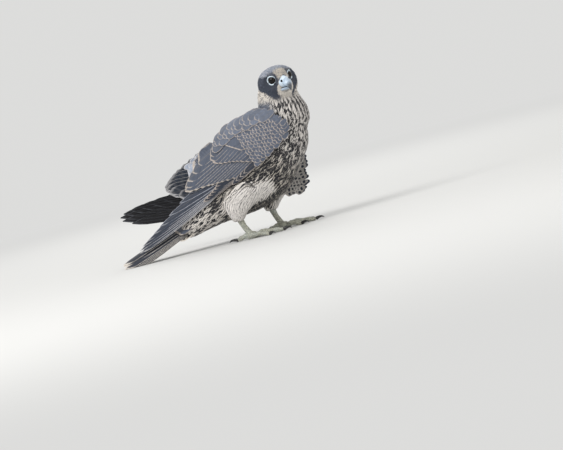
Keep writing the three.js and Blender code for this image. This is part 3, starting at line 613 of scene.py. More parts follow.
# Feather meshes.
class Feathers:
    """Collects feathers, in batches of one grid size, and makes them one mesh."""

    SCALARS = ("length_mm", "width_mm", "edge", "tip", "shaft", "spot", "bars")
    COLOURS = ("centre", "rim")

    def __init__(self):
        self.batches = []

    def add(self, points, place, spot=0.0, bars=0.0, **values):
        """points: (count, stations, across, 3); the values: one for all, or one row a feather."""
        count = len(points)
        values.update(spot=spot, bars=bars)
        batch = {key: np.broadcast_to(values[key], count) for key in self.SCALARS}
        for key in self.COLOURS:
            batch[key] = np.broadcast_to(np.asarray(values[key], float), (count, 3))
        batch["points"] = points
        batch["place"] = np.asarray(place, float)
        self.batches.append(batch)

    def build(self, name, shift, material):
        verts, quads, uvs, bake = [], [], [], []
        point_values = {key: [] for key in (*self.SCALARS, *self.COLOURS, "seed")}
        start = 0
        for batch in self.batches:
            count, stations, across, _ = batch["points"].shape
            size = stations * across
            verts.append(batch["points"].reshape(-1, 3))
            index = start + np.arange(count)[:, None, None] * size + grid_quads(stations, across)
            quads.append(index.reshape(-1, 4))
            grid = grid_places(stations, across)
            uvs.append(np.broadcast_to(grid, (count, size, 2)).reshape(-1, 2))
            patch = batch["place"][:, None, :] + (grid - 0.5) * BAKE_PATCH
            bake.append(np.clip(patch, 0.001, 0.999).reshape(-1, 2))
            batch["seed"] = RNG.random(count) * 90
            for key, parts in point_values.items():
                parts.append(np.repeat(batch[key], size, axis=0))
            start += count * size
        verts = (np.concatenate(verts) + shift) * MM
        verts[:, 2] = np.maximum(verts[:, 2], FLOOR_GAP * MM)
        quads = np.concatenate(quads)
        mesh = quad_mesh(name, verts, quads)
        put_uv(mesh, "Feather", np.concatenate(uvs)[quads.reshape(-1)])
        put_uv(mesh, "OFBake", np.concatenate(bake)[quads.reshape(-1)])
        for key, parts in point_values.items():
            put = put_colour if key in self.COLOURS else put_float
            put(mesh, key, np.concatenate(parts))
        mesh.materials.append(material)
        return as_object(name, mesh)


def grid_quads(stations, across):
    cell = (np.arange(stations - 1)[:, None] * across + np.arange(across - 1)).reshape(-1)
    return np.stack([cell, cell + 1, cell + across + 1, cell + across], -1)


def grid_places(stations, across):
    """Places on a feather's grid, 0 to 1 across and along, as one row of all its points."""
    u = np.tile(np.linspace(0, 1, across), (stations, 1))
    v = np.tile(np.linspace(0, 1, stations)[:, None], (1, across))
    return np.stack([u, v], -1).reshape(1, -1, 2)


def lie_on(skin_tree, roots, normals, flow, lengths, depth, tilt):
    """Follow the skin from each root: three points and normals a feather."""
    points = [roots]
    ups = [normals]
    heights = (0.0, 0.72, 1.0)
    for _ in range(2):
        ahead = flow(points[-1], ups[-1])
        step = unit(ahead + tilt[:, None] * np.cross(ups[-1], ahead))
        goal = points[-1] + step * (lengths / 2)[:, None]
        found = [skin_tree.find_nearest(Vector(p)) for p in goal]
        points.append(np.array([f[0] for f in found]))
        ups.append(unit(np.array([f[1] for f in found]) + 1.2 * ups[-1]))
    raised = [p + n * (depth * h)[:, None] for p, n, h in zip(points, ups, heights)]
    return raised, ups


def ribbon(raised, ups, widths, profile, stations, across, camber):
    """Feather grids along the curve through three raised points."""
    s = np.linspace(0, 1, stations)
    weights = (2 * (s - 0.5) * (s - 1), -4 * s * (s - 1), 2 * s * (s - 0.5))
    line = sum(w[None, :, None] * p[:, None, :] for w, p in zip(weights, raised))
    up = unit(sum(w[None, :, None] * p[:, None, :] for w, p in zip(weights, ups)))
    side = unit(np.cross(up, np.gradient(line, axis=1)))
    a = np.linspace(-1, 1, across)
    half = 0.5 * widths[:, None] * table(profile, s)[None, :]
    shape = line[:, :, None, :] + side[:, :, None, :] * (half[:, :, None] * a)[..., None]
    drop = camber * widths[:, None, None] * (a * a)[None, None, :] * np.ones((1, stations, 1))
    return shape - up[:, :, None, :] * drop[..., None]


def vanes(sheet, rows, profile, stations, across, camber=0.04):
    """Flight feather grids. A row: root and tip on the sheet, width, two heights, tilt and bow."""
    r = np.asarray(rows, float)
    s = np.linspace(0, 1, stations)
    a = np.linspace(-1, 1, across)
    d = r[:, 2:4] - r[:, 0:2]
    length = np.linalg.norm(d, axis=1)
    side = np.stack([-d[:, 1], d[:, 0]], -1) / length[:, None]
    mid = r[:, None, 0:2] + d[:, None, :] * s[None, :, None]
    mid = mid + side[:, None, :] * (r[:, 8:9] * np.sin(math.pi * s)[None, :])[..., None]
    half = 0.5 * r[:, 4:5] * table(profile, s)[None, :]
    offset = half[:, :, None] * a
    at = mid[:, :, None, :] + side[:, None, None, :] * offset[..., None]
    h = r[:, 5:6] + (r[:, 6:7] - r[:, 5:6]) * s[None, :]
    h = h[:, :, None] - r[:, 7][:, None, None] * offset - camber * r[:, 4][:, None, None] * (a * a)
    return lifted(sheet, at[..., 0], at[..., 1], h), length


# Roots over the skin.
def crowded(taken, cell, reach, point, spacing):
    """Whether a root that is already taken lies within the spacing."""
    for step in itertools.product(range(-reach, reach + 1), repeat=3):
        for q in taken.get((cell[0] + step[0], cell[1] + step[1], cell[2] + step[2]), ()):
            off = (q[0] - point[0]) ** 2 + (q[1] - point[1]) ** 2 + (q[2] - point[2]) ** 2
            if off < spacing * spacing:
                return True
    return False


def scatter(mesh, spacing_at):
    """Seeded dart throwing on a fine mesh: face indices at least a local spacing apart."""
    centres = read_rows(mesh.polygons, "center")
    spacing = spacing_at(centres)
    taken = {}
    kept = []
    for i in RNG.permutation(len(centres)):
        reach = int(math.ceil(spacing[i] / SCATTER_CELL))
        cell = tuple((centres[i] // SCATTER_CELL).astype(int))
        if not crowded(taken, cell, reach, centres[i], spacing[i]):
            taken.setdefault(cell, []).append(centres[i])
            kept.append(i)
    return np.array(kept)


def headness(points):
    """1 on the head, 0 on the trunk, easing down the neck."""
    return smooth(points[..., 2], *HEAD_START)


def neckness(points):
    """1 on the front of the neck, 0 on the trunk."""
    return smooth(points[..., 2], *NECK_START) * smooth(points[..., 0], *NECK_FRONT)


def body_flow(points, normals):
    """The lie of the feathers: back over the head, down the neck, back along the body."""
    down = np.array([-0.25, 0.0, -1.0])
    leg_down = np.array([-0.35, 0, -1.0])
    side_fall = np.clip(-(to_head(points)[..., 2] - 4) / 22, 0, 1)[..., None] * HEAD_UP * -0.9
    head = unit(np.broadcast_to(-HEAD_FORWARD, points.shape) + side_fall)
    neck = neckness(points)[..., None]
    body = unit(-BODY_AXIS * (1 - neck) + down * neck)
    z = points[..., 2]
    leg = (smooth(LEG_TOP - z, *LEG_EASE) * (z < LEG_TOP) * (points[..., 0] > -30))[..., None]
    body = unit(body * (1 - leg) + leg_down * leg)
    share = headness(points)[..., None]
    lie = head * share + body * (1 - share)
    return unit(lie - normals * np.sum(lie * normals, axis=-1, keepdims=True))


# Markings.
def head_colours(points):
    """Centre and rim colours, and the rim's reach, on the head."""
    head = to_head(points)
    count = len(points)
    x, y, z = head[:, 0], np.abs(head[:, 1]), head[:, 2]
    wander = 2.0 * (RNG.random(count) - 0.5)
    chance = RNG.random(count)
    eye = eye_distance(points)
    centre = rim = blend(CREAM, WHITE, np.full(count, 0.3))

    rear = smooth(z + 0.6 * wander - table(MASK_REAR, x), -1.2, 1.2)
    cheek = (1 - rear) * smooth(8 - x, 0, 4) * (chance < CHEEK_FLECKS)
    centre = blend(centre, SLATE_DARK, cheek * 0.85)

    nape = smooth(-x, *HEAD_BACK) * smooth(z, *HEAD_BACK_LOW)
    crown = np.maximum(smooth(z - CROWN_SLOPE * np.maximum(-x, 0), *CROWN_LOW), nape)
    centre = blend(centre, blend(SLATE, BLUE_WHITE, 0.35 * chance), crown)
    rim = blend(rim, blend(BLUE_WHITE, BUFF, 0.6 * chance), crown)
    edge = 0.4 * (1 - crown) + (0.28 + 0.14 * chance) * crown

    front = smooth(table(MASK_FRONT, z) - x + 0.3 * wander, -0.8, 0.8)
    mask = rear * front * smooth(y, *MASK_SIDE) * (1 - smooth(z, *MASK_TOP))
    mask = mask * smooth(x + wander, *MASK_BACK)
    mask = np.maximum(mask, 1 - smooth(eye, *EYE_PATCH))
    centre = blend(centre, SLATE_DARK, mask)
    rim = blend(rim, blend(SLATE_DARK, SLATE, chance), mask)

    brow = smooth(x + 0.6 * z + wander, *BROW_BACK) * smooth(z, *BROW_LOW) * smooth(eye, *BROW_EYE)
    centre = blend(centre, blend(BUFF, SLATE, 0.9 * chance), brow)
    rim = blend(rim, CREAM, brow)
    return centre, rim, edge * (1 - brow) + 0.5 * brow


def streak(points):
    """How dark a place is, -1 to 1: stripes along the lie of the feathers, broken into dashes."""
    along = points @ BODY_AXIS
    trunk = np.arctan2(points[:, 1], TRUNK_MIDDLE - points @ BODY_UP) * TRUNK_RADIUS / TRUNK_STRIPE
    neck = np.arctan2(points[:, 1] - NECK_MIDDLE[1], points[:, 0] - NECK_MIDDLE[0])
    neck = neck * NECK_RADIUS / NECK_STRIPE
    turn = np.where(neckness(points) > 0.5, neck, trunk) + 0.25 * np.sin(along / STRIPE_BEND)
    # Each stripe starts its dashes at a place of its own, from a plain hash of its number.
    start = np.modf(np.abs(np.sin(np.floor(turn) * 12.9898)) * 437.585)[0]
    dash = np.sin(math.tau * (along / DASH_LENGTH + start))
    return 0.8 * np.sin(math.tau * turn) + 0.2 * dash


def back_share(points, normals):
    """1 on the slate back and nape, which face up or back."""
    back = smooth(points @ BODY_UP, 92, 108) * smooth(-normals[:, 0] + normals[:, 2] * 0.6, 0.05, 0.5)
    nape = smooth(points[:, 2], 160, 178) * smooth(-normals[:, 0], 0.3, 0.8)
    return np.maximum(back, nape)


def thigh_share(points):
    """1 on the white thighs."""
    thigh = smooth(86 - points[:, 2], 0, 16) * smooth(np.abs(points[:, 1]), 20, 28)
    thigh = thigh * (1 - smooth(points @ BODY_UP, 58, 80))
    return thigh * smooth(points[:, 0], -56, -44) * (1 - smooth(points[:, 0], 38, 50))


def body_colours(points, normals):
    """Centre and rim colours, and the rim's reach, on the neck, trunk and thighs."""
    count = len(points)
    along = points @ BODY_AXIS
    jitter = RNG.random(count)
    top = back_share(points, normals)

    dark = table(DARK_SHARE, along) + DARK_SIDE * smooth(np.abs(points[:, 1]), 30, 46)
    dark = dark + DARK_BASE + STREAK_CONTRAST * streak(points) + 0.08 * (jitter - 0.5)
    throat = smooth(points[:, 2], 176, 190) * (1 - top)
    edge = 1 - np.clip(dark - 0.4 * throat, 0.08, 0.96)
    edge = edge * (1 - top) + 0.16 * top

    centre = blend(np.tile(np.array(BROWN), (count, 1)), SLATE, top)
    rim = blend(blend(CREAM, WHITE, 0.75), CREAM, 1 - smooth(along, 90, 140))
    rim = blend(rim, blend(SLATE, GREY_RIM, np.full(count, 0.8)), top)

    rump = top * (1 - smooth(along, -20, 10))
    centre = blend(centre, blend(SLATE, BLUE_WHITE, jitter), rump * 0.8)
    rim = blend(rim, BLUE_WHITE, rump * 0.7)

    under_tail = (1 - smooth(along, -30, 5)) * (1 - top)
    rim = blend(rim, WHITE, under_tail * 0.6)

    thigh = thigh_share(points)
    rim = blend(rim, WHITE, thigh)
    return centre, rim, edge * (1 - thigh) + (0.82 + 0.12 * jitter) * thigh


def coat_colours(points, normals):
    """Centre and rim colours, rim reach and tip reach anywhere on the skin."""
    head_centre, head_rim, head_edge = head_colours(points)
    body_centre, body_rim, body_edge = body_colours(points, normals)
    below = smooth(-to_head(points)[:, 2], *CHIN_LOW)
    share = headness(points) * (1 - below * (1 - smooth(points[:, 2], *CHIN_HIGH)))
    return (blend(body_centre, head_centre, share), blend(body_rim, head_rim, share),
            body_edge * (1 - share) + head_edge * share, BODY_TIP * (1 - share))


# Skin and coat.
def remeshed(name, nodes, voxel, smoothing):
    """One smooth closed mesh from copies of some of the solids."""
    joined = bmesh.new()
    for node in nodes:
        joined.from_mesh(bpy.data.objects[node].data)
    mesh = bpy.data.meshes.new(name)
    joined.to_mesh(mesh)
    joined.free()
    made = as_object(name, mesh)
    remesh = made.modifiers.new("remesh", "REMESH")
    remesh.mode = "VOXEL"
    remesh.voxel_size = voxel * MM
    remesh.use_smooth_shade = True
    relax = made.modifiers.new("relax", "SMOOTH")
    relax.factor = 0.5
    relax.iterations = smoothing
    applied = bpy.data.meshes.new_from_object(made.evaluated_get(bpy.context.evaluated_depsgraph_get()))
    made.modifiers.clear()
    made.data = applied
    applied.name = name
    bpy.data.meshes.remove(mesh)
    return made


def unwrap(made):
    made.data.uv_layers.new(name="OFBake")
    bpy.context.view_layer.objects.active = made
    made.select_set(True)
    bpy.ops.object.mode_set(mode="EDIT")
    bpy.ops.mesh.select_all(action="SELECT")
    bpy.ops.uv.smart_project(angle_limit=rad(66), island_margin=0.002)
    bpy.ops.object.mode_set(mode="OBJECT")
    made.select_set(False)


def build_skin(shift):
    skin = remeshed("skin", ["torso", "neck", "head", "thigh_right", "thigh_left"], SKIN_VOXEL, 6)
    unwrap(skin)
    points = read_rows(skin.data.vertices, "co") / MM - shift
    normals = read_rows(skin.data.vertices, "normal")
    inward = BODY_COAT + (HEAD_COAT - BODY_COAT) * headness(points)
    inward = inward + EYE_HOLLOW * (1 - smooth(eye_distance(points), 8, 12))
    points = points - normals * inward[:, None]
    skin.data.vertices.foreach_set("co", ((points + shift) * MM).astype(np.float32).reshape(-1))
    centre, rim, _, _ = coat_colours(points, normals)
    put_colour(skin.data, "under", 0.5 * (centre + rim))
    skin.data.materials.append(skin_material())
    return skin


def coat_spacing(points):
    body = table(BODY_SPACING, points @ BODY_AXIS)
    shins = smooth(62 - points[:, 2], *LEG_EASE) * (points[:, 0] > -40)
    body = body * (1 - shins) + SHIN_SPACING * shins
    face = table(HEAD_SPACING, to_head(points)[:, 0])
    face = face * (0.72 + 0.28 * smooth(eye_distance(points), 10, 14))
    share = headness(points)
    return body * (1 - share) + face * share


def coat_lengths(roots, normals):
    """Feather lengths, cut short where a tip would reach over an eye's ring."""
    spacing = coat_spacing(roots)
    stretch = 6.0 - 1.8 * headness(roots)
    lengths = spacing * stretch * (0.85 + 0.3 * RNG.random(len(spacing)))
    root_off = eye_distance(roots)
    lengths = lengths * (0.75 + 0.25 * smooth(root_off, 8, 14))
    tip_off = eye_distance(roots + body_flow(roots, normals) * lengths[:, None])
    room = (root_off - LID_EDGE) / np.maximum(root_off - tip_off, 0.1)
    return np.where(tip_off < LID_EDGE, lengths * np.clip(room, 0.3, 1), lengths)


def face_places(mesh, faces):
    """Middle of each face on the unwrap."""
    uv = read_rows(mesh.uv_layers["OFBake"].data, "uv", 2)
    return np.array([uv[list(mesh.polygons[int(f)].loop_indices)].mean(0) for f in faces])


def under_bill(points):
    head = to_head(points)
    x, y, z = head[:, 0], np.abs(head[:, 1]), head[:, 2]
    return (x > BILL_BACK) & (z < BILL_HIGH) & (z > BILL_LOW) & (y < BILL_SIDE)


def coat_roots(skin, shift):
    """A search tree of the skin, and the roots' places, normals and places on the unwrap."""
    mesh = skin.data.copy()
    mesh.transform(Matrix.Scale(1 / MM, 4))
    mesh.transform(Matrix.Translation(Vector(-shift)))
    faces = scatter(mesh, coat_spacing)
    roots = read_rows(mesh.polygons, "center")[faces]
    normals = read_rows(mesh.polygons, "normal")[faces]
    places = face_places(mesh, faces)
    work = bmesh.new()
    work.from_mesh(mesh)
    tree = BVHTree.FromBMesh(work)
    work.free()
    bpy.data.meshes.remove(mesh)
    keep = (eye_distance(roots) > LID_EDGE) & ~under_bill(roots)
    return tree, roots[keep], normals[keep], places[keep]


def build_coat(skin, shift, material):
    """Small feathers over the skin, in pieces by region."""
    tree, roots, normals, places = coat_roots(skin, shift)
    share = headness(roots)
    lengths = coat_lengths(roots, normals)
    depth = BODY_COAT + (HEAD_COAT - BODY_COAT) * share + 0.4 * RNG.random(len(roots))
    tilt = (RNG.random(len(roots)) - 0.5) * 0.3
    raised, ups = lie_on(tree, roots, normals, body_flow, lengths, depth, tilt)
    # A feather shows its outer half, so it takes the colour of the place that half covers.
    shown = 0.35 * raised[1] + 0.65 * raised[2]
    centre, rim, edge, tip = coat_colours(shown, normals)
    centre = centre * (0.85 + 0.3 * RNG.random((len(centre), 1)))
    widths = lengths * (0.33 + 0.11 * share)
    on_head = share > 0.5
    on_neck = ~on_head & (roots[:, 2] > NECK_BASE)
    on_body = ~on_head & ~on_neck
    regions = {
        "coat_head": on_head,
        "coat_neck": on_neck,
        "coat_right": on_body & (roots[:, 1] < 0),
        "coat_left": on_body & (roots[:, 1] >= 0),
    }
    made = []
    for name, pick in regions.items():
        coat = Feathers()
        grid = ribbon([r[pick] for r in raised], [u[pick] for u in ups], widths[pick], LANCE, 6, 3, 0.06)
        coat.add(grid, places[pick], length_mm=lengths[pick], width_mm=widths[pick], centre=centre[pick],
                 rim=rim[pick], edge=edge[pick], tip=tip[pick], shaft=0.3)
        made.append(coat.build(name, shift, material))
    return made


# Wings and tail.
class Sheet(Feathers):
    """Feathers that lie on one wing's or the tail's sheet; the spans are its unwrap."""

    def __init__(self, surface, along_span, across_span):
        super().__init__()
        self.surface = surface
        self.spans = np.array([along_span, across_span], float)

    def put(self, rows, profile, centre, rim, edge, tip, shaft, grid=(14, 7), vary=0.12, **marks):
        """One tier; its feathers' tones vary a little, from one seeded draw a feather."""
        rows = np.asarray(rows, float)
        points, length = vanes(self.surface, rows, profile, *grid)
        tone = 1 + vary * (RNG.random((len(rows), 1)) * 2 - 1) if vary else 1
        place = (rows[:, :2] - self.spans[:, 0]) / (self.spans[:, 1] - self.spans[:, 0])
        self.add(points, place.clip(0.01, 0.99), length_mm=length, width_mm=rows[:, 4],
                 centre=np.asarray(centre) * tone, rim=rim, edge=edge, tip=tip, shaft=shaft, **marks)


# Coverts that both wings share, from the wrist back; a tier adds its own reach or grid.
LESSER = {"profile": ROUND, "centre": blend(SLATE, SLATE_DARK, 0.15), "rim": blend(SLATE, FRINGE, 0.9),
          "edge": 0.12, "tip": 0.10}
MEDIAN = {"profile": ROUND, "centre": blend(SLATE, SLATE_DARK, 0.25), "rim": FRINGE, "edge": 0.07,
          "tip": 0.06, "shaft": 0.8, "grid": (12, 7)}
GREATER = {"profile": BROAD, "centre": blend(SLATE, SLATE_DARK, 0.3), "rim": FRINGE, "tip": 0.045,
           "shaft": 1.0, "grid": (12, 7)}


def fan(tier):
    """The rows of a tier, its feathers spread evenly along both polylines."""
    rows = []
    for i in range(tier.count):
        t = i / (tier.count - 1)
        width = tier.widths[0] + (tier.widths[1] - tier.widths[0]) * t
        height = tier.heights[0] + (tier.heights[1] - tier.heights[0]) * t
        rows.append((*polyline(tier.roots, t), *polyline(tier.tips, t), width, height, height, tier.tilt,
                     tier.bow))
    return rows


def scale_rows(low, high, span, steps, size, base, fall=0.15):
    """Small overlapping coverts between two lines; steps and size are along, then across."""
    rows = []
    along = span[1]
    odd = False
    while along > span[0]:
        across = table(low, along) + (steps[1] / 2 if odd else 0)
        top = table(high, along)
        rise = base + 0.012 * (span[1] - along)
        while across < top:
            jitter = RNG.random(3) - 0.5
            length = size[0] * (0.9 + 0.2 * RNG.random())
            root = (along + jitter[0] * steps[0] * 0.5, across + jitter[1] * steps[1] * 0.4)
            tip = (root[0] + length, root[1] - length * fall + jitter[2] * 1.6)
            rows.append((*root, *tip, size[1], rise - 1.0, rise + 0.5, 0.05, 0))
            across += steps[1]
        along -= steps[0]
        odd = not odd
    return rows


def build_wing_right(shift, material):
    wing = Sheet(wing_right, (-10, 320), (-20, 80))
    wing.put(fan(PRIMARIES_R), POINTED, blend(SLATE_DARK, SLATE, 0.15),
             blend(GREY_RIM, WHITE, np.linspace(0.0, 0.6, PRIMARIES_R.count)), 0.10, 0.015, 1.0, (22, 9))
    wing.put(fan(PRIMARY_COVERTS_R), ROUND, SLATE_DARK, FRINGE, 0.08, 0.04, 1.0)
    wing.put(fan(ALULA_R), ROUND, SLATE_DARK, FRINGE, 0.08, 0.03, 1.0)
    wing.put(fan(SECONDARIES_R), BROAD, blend(SLATE, SLATE_DARK, 0.3), blend(FRINGE, CREAM, 0.3),
             0.028, 0.025, 1.0, (18, 9))
    wing.put(fan(GREATER_R), edge=0.035, **GREATER)
    wing.put(fan(MEDIAN_R), **MEDIAN)
    lesser = scale_rows(WING_R_LOW, WING_R_HIGH, (-6, 62), (4.5, 5.8), (12.5, 8.4), -0.6)
    wing.put(lesser, shaft=0.5, grid=(8, 5), **LESSER)
    scapulars = scale_rows(SCAPULAR_LOW, WING_R_HIGH, (0, 92), (7.0, 7.0), (24, 13), 0.2, -0.02)
    wing.put(scapulars, ROUND, blend(SLATE, BLUE_WHITE, 0.07), blend(SLATE, FRINGE, 0.85), 0.09, 0.07, 0.8,
             (10, 7), 0.18)
    # Pale down shows between the wings, past the upper ends of the secondaries.
    down = scale_rows(DOWN_LOW, DOWN_HIGH, (120, 158), (5.0, 4.5), (16, 8), -6.0, -0.1)
    wing.put(down, ROUND, blend(SLATE, BLUE_WHITE, 0.5), blend(GREY_RIM, WHITE, 0.3), 0.3, 0.15, 0.0,
             (8, 5), 0.3)
    return wing.build("wing_right_feathers", shift, material)


def wrist_rows():
    """Small coverts on both faces of the left wing's wrist."""
    rows = []
    for x in range(-4, 77, 5):
        for z in np.arange(table(WRIST_L_LOW, x), table(WRIST_L_HIGH, x), 4.8):
            a, b = 3.4 * (RNG.random(2) - 0.5)
            for h in WRIST_L_HEIGHTS:
                rows.append((x + a + 2, z + b, x + a - 9, z + b - 1 + a, 6.6, h, h * 1.3, 0, 0))
    return np.array(rows)


def build_wing_left(shift, material):
    """The photograph shows this wing's inner face: black primaries, whose near black is partly painted
    shade, and a spotted wrist.
    """
    wing = Sheet(wing_left, (-240, 100), (30, 160))
    # Painted shade: these primaries take INK, their own blackish colour darkened further with painted shade
    # on this face of the wing.
    wing.put(fan(PRIMARIES_L), BLUNT, INK, blend(INK, GREY_RIM, 0.16), 0.05, 0.015, 0.3, (22, 9))
    wing.put(fan(SECONDARIES_L), BROAD, blend(SLATE_DARK, SLATE, 0.3), blend(GREY_RIM, WHITE, 0.5),
             0.05, 0.03, 1.0, (18, 9), bars=0.1)
    wing.put(fan(INNER_L), ROUND, SLATE_DARK, WHITE, 0.22, 0.08, 0.8, (10, 5), bars=0.3)
    wing.put(fan(GREATER_L), edge=0.04, **GREATER)
    wing.put(fan(MEDIAN_L), **MEDIAN)
    rows = wrist_rows()
    inner = rows[:, 5] < 0
    lining_rim = blend(CREAM, GREY_RIM, 0.35)
    wing.put(rows[inner], ROUND, SLATE_DARK, lining_rim, 0.38, 0.24, 0.0, (9, 7), spot=0.9)
    wing.put(rows[~inner], shaft=0.5, grid=(7, 5), **LESSER)
    return wing.build("wing_left_feathers", shift, material)


def tail_rows():
    """Twelve tail feathers, each pair under the one inside it."""
    rows = []
    for k in range(TAIL_PAIRS):
        for side in (-1, 1):
            inmost = k == 0
            across = (side, side * 1.5) if inmost else (side * (5 + 0.6 * k), side * (7 + 2.2 * k))
            height = 0.3 - 0.9 * k + (0.9 if inmost and side > 0 else 0)
            rows.append((30, across[0], 176 - 0.32 * k * k, across[1], 21 if inmost else 17, height, height,
                         0.03 * side, side))
    return rows


def build_tail(shift, material):
    tail = Sheet(tail_sheet, (-10, 190), (-40, 40))
    upper = [(20 + 3 * abs(i), i * 3.0, 84 - 3 * abs(i), i * 5.0, 15, 1.9, 2.2, 0, 0) for i in range(-3, 4)]
    under = [(28 + 3 * abs(i), i * 3.2, 104 - 6 * abs(i), i * 4.6, 15, -6.5, -6.2, 0, 0)
             for i in range(-4, 5)]
    tail.put(tail_rows(), BROAD, blend(SLATE_DARK, INK, 0.3), blend(CREAM, WHITE, 0.3), 0.06, 0.03, 1.0,
             (20, 9), 0)
    tail.put(upper, ROUND, blend(SLATE, SLATE_DARK, 0.5), FRINGE, 0.06, 0.05, 0.8, (10, 5), 0)
    tail.put(under, ROUND, BROWN, CREAM, 0.24, 0.10, 0.4, (14, 5), 0, bars=0.6)
    return tail.build("tail_feathers", shift, material)


# Eyes, bill and feet.
def build_eye(name, side, shift, material):
    """A ball with a slight cornea; "rim" is the distance from its axis, 1 at the opening's edge."""
    axis, centre = eye_place(side)
    mesh = bpy.data.meshes.new(name)
    work = bmesh.new()
    bmesh.ops.create_uvsphere(work, u_segments=48, v_segments=32, radius=EYE_RADIUS)
    for v in work.verts:
        out = max(v.co.z / EYE_RADIUS, 0)
        v.co.z += CORNEA_RISE * max(0.0, (out - CORNEA_EDGE) / (1 - CORNEA_EDGE)) ** 1.5
    rims = [math.hypot(v.co.x, v.co.y) / EYE_OPENING if v.co.z > 0 else 1.4 for v in work.verts]
    work.transform(Vector((0, 0, 1)).rotation_difference(Vector(axis)).to_matrix().to_4x4())
    work.transform(Matrix.Translation(Vector(centre + shift)))
    work.transform(Matrix.Scale(MM, 4))
    work.to_mesh(mesh)
    work.free()
    put_float(mesh, "rim", np.array(rims))
    mesh.shade_smooth()
    mesh.materials.append(material)
    return as_object(name, mesh)


def build_lid(name, side, shift, material):
    """The bare ring round the eye, a little oval and slanted."""
    axis, centre = eye_place(side)
    u = unit(np.cross(HEAD_UP, axis))
    w = np.cross(axis, u)
    rings, sides = 64, 12
    t = np.arange(rings)[:, None, None] / rings * math.tau
    a = np.arange(sides)[:, None] / sides * math.tau
    out = u * np.cos(t) + w * np.sin(t) * LID_HEIGHT
    reach = np.linalg.norm(out, axis=-1, keepdims=True) * (EYE_OPENING + LID_OUT + LID_WAVE * np.sin(t * 9))
    seat = np.sqrt(EYE_RADIUS ** 2 - reach ** 2) + LID_SEAT
    verts = (centre + unit(out) * (reach + LID_RADIUS * np.cos(a))
             + axis * (seat + LID_THICKNESS * np.sin(a)))
    i, k = np.divmod(np.arange(rings * sides), sides)
    i2, k2 = (i + 1) % rings, (k + 1) % sides
    quads = np.stack([i * sides + k, i * sides + k2, i2 * sides + k2, i2 * sides + k], -1)
    mesh = quad_mesh(name, (verts.reshape(-1, 3) + shift) * MM, quads)
    mesh.materials.append(material)
    return as_object(name, mesh)


def build_horn(name, nodes, voxel, smoothing, material):
    """A fine smooth piece in the place of some of the solids."""
    made = remeshed(name, nodes, voxel, smoothing)
    made.data.materials.append(material)
    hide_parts(*nodes)
    return made


def mark_bill(made, shift):
    """The bill's dark tip and the painted shade in the nostrils, as values on the piece's points."""
    head = to_head(read_rows(made.data.vertices, "co") / MM - shift)
    put_float(made.data, "reach", smooth(head[:, 0] - 0.5 * (head[:, 2] + 4), *BILL_TIP))
    axis = unit(np.subtract(NOSTRIL_TO, NOSTRIL_FROM))
    out = np.stack([head[:, 0], np.abs(head[:, 1]), head[:, 2]], -1) - np.array(NOSTRIL_FROM)
    off = np.linalg.norm(out - (out @ axis)[:, None] * axis, axis=1)
    # Painted shade: 1 inside the nostril openings, which the cere colours near black.
    put_float(made.data, "nostril_shade", 1 - smooth(off, *NOSTRIL_RIM))


def build_eyes(shift):
    ball_look, lid_look = eye_material(), lid_material()
    made = []
    for name, side in (("left", 1), ("right", -1)):
        ball = build_eye(f"eyeball_{name}", side, shift, ball_look)
        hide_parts(f"eye_{name}")
        made += [ball, build_lid(f"lid_{name}", side, shift, lid_look)]
    return made


def build_bill(shift):
    horn = bill_material()
    made = [
        build_horn("bill_top", ["bill_upper"], 0.3, 5, horn),
        build_horn("bill_under", ["bill_lower"], 0.3, 4, horn),
        build_horn("cere_skin", ["cere"], 0.28, 4, cere_material()),
    ]
    for piece in made:
        mark_bill(piece, shift)
    return made


def build_legs():
    scales, claw = leg_material(), claw_material()
    made = []
    for side in ("right", "left"):
        claws = [f"claw_{side}_{toe}" for toe in ("inner", "middle", "outer", "hind")]
        made.append(build_horn(f"leg_{side}", [f"foot_{side}", f"tarsus_{side}"], 0.8, 3, scales))
        made.append(build_horn(f"claws_{side}", claws, 0.35, 3, claw))
    return made


# Floor, light and camera.
def build_floor():
    bpy.ops.mesh.primitive_circle_add(vertices=96, radius=FLOOR_RADIUS, fill_type="NGON",
                                      location=(0, 0, -FLOOR_GAP * MM))
    floor = bpy.context.object
    floor.name = "floor"
    n = Nodes("pale_floor")
    spread = n.node("ShaderNodeVectorMath", Vector=n.position())
    spread.operation = "LENGTH"
    far = n.step(spread.outputs["Value"], *FLOOR_FADE)
    glow = n.node("ShaderNodeEmission", Color=WORLD_COLOUR, Strength=WORLD_STRENGTH)
    n.surface(FLOOR_COLOUR, Roughness=0.9, Specular_IOR_Level=0.1)
    blended = n.node("ShaderNodeMixShader", Fac=far)
    n.link(n.shader.outputs[0], blended.inputs[1])
    n.link(glow.outputs[0], blended.inputs[2])
    n.link(blended.outputs[0], n.tree.nodes["Material Output"].inputs["Surface"])
    floor.data.materials.append(n.material)


def area_light(name, at, size, power, colour):
    data = bpy.data.lights.new(name, "AREA")
    data.size = size
    data.energy = power
    data.color = colour
    made = bpy.data.objects.new(name, data)
    made.location = at
    made.rotation_euler = (Vector(LIGHT_AIM) - Vector(at)).to_track_quat("-Z", "Y").to_euler()
    bpy.context.scene.collection.objects.link(made)


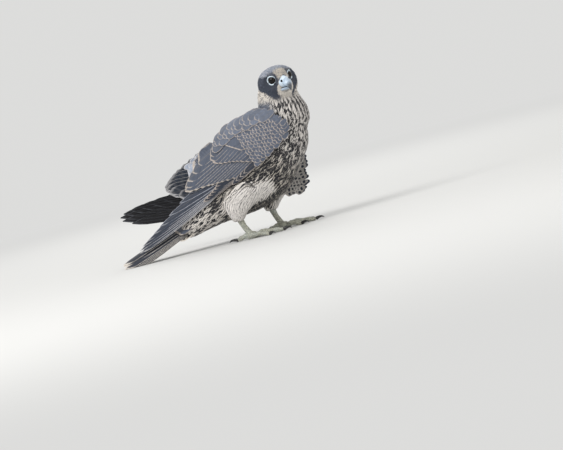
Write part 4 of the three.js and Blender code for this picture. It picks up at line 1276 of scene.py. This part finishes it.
def build_light():
    world = bpy.data.worlds.new("plain_world")
    world.use_nodes = True
    world.node_tree.nodes["Background"].inputs[0].default_value = WORLD_COLOUR
    world.node_tree.nodes["Background"].inputs[1].default_value = WORLD_STRENGTH
    bpy.context.scene.world = world
    bpy.context.scene.view_settings.view_transform = "Standard"
    for light in LIGHTS:
        area_light(*light)


def build_camera(shift):
    az, el, roll = rad(VIEW_AZIMUTH), rad(VIEW_ELEVATION), rad(VIEW_ROLL)
    right = np.array([math.cos(az), math.sin(az), 0])
    back = np.array([math.sin(az) * math.cos(el), -math.cos(az) * math.cos(el), math.sin(el)])
    up = np.cross(back, right)
    image_x = right * math.cos(roll) - up * math.sin(roll)
    image_y = right * math.sin(roll) + up * math.cos(roll)
    aim = (shift + image_x * FRAME_CENTRE[0] + image_y * FRAME_CENTRE[1]) * MM
    data = bpy.data.cameras.new("camera")
    data.sensor_width = SENSOR_WIDTH
    data.lens = SENSOR_WIDTH * VIEW_DISTANCE / FRAME_WIDTH
    camera = bpy.data.objects.new("camera", data)
    turn = Matrix((image_x, image_y, back)).transposed().to_4x4()
    camera.matrix_world = Matrix.Translation(Vector(aim + back * VIEW_DISTANCE)) @ turn
    bpy.context.scene.collection.objects.link(camera)
    bpy.context.scene.camera = camera


def frame_shift():
    """From the bird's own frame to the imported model's, read off the right eye."""
    eye_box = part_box("eye_right")
    shift = np.array((eye_box[0] + eye_box[1]) / 2) / MM - eye_place(-1)[1]
    shift[2] = 0.0
    return shift


def main():
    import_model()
    shift = frame_shift()
    build_camera(shift)
    build_floor()
    build_light()

    plumage = plumage_material()
    skin = build_skin(shift)
    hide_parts("torso", "neck", "head", "thigh_right", "thigh_left")
    coat = build_coat(skin, shift, plumage)
    right = build_wing_right(shift, plumage)
    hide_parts("wing_right_coverts", "wing_right_secondaries", "wing_right_primaries")
    left = build_wing_left(shift, plumage)
    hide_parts("wing_left_coverts", "wing_left_secondaries", "wing_left_primaries")
    tail = build_tail(shift, plumage)
    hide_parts("tail")
    eyes = build_eyes(shift)
    bill = build_bill(shift)
    legs = build_legs()
    for piece in [skin, *coat, *eyes, *legs, right, left, tail, *bill]:
        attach(piece, "root")


main()
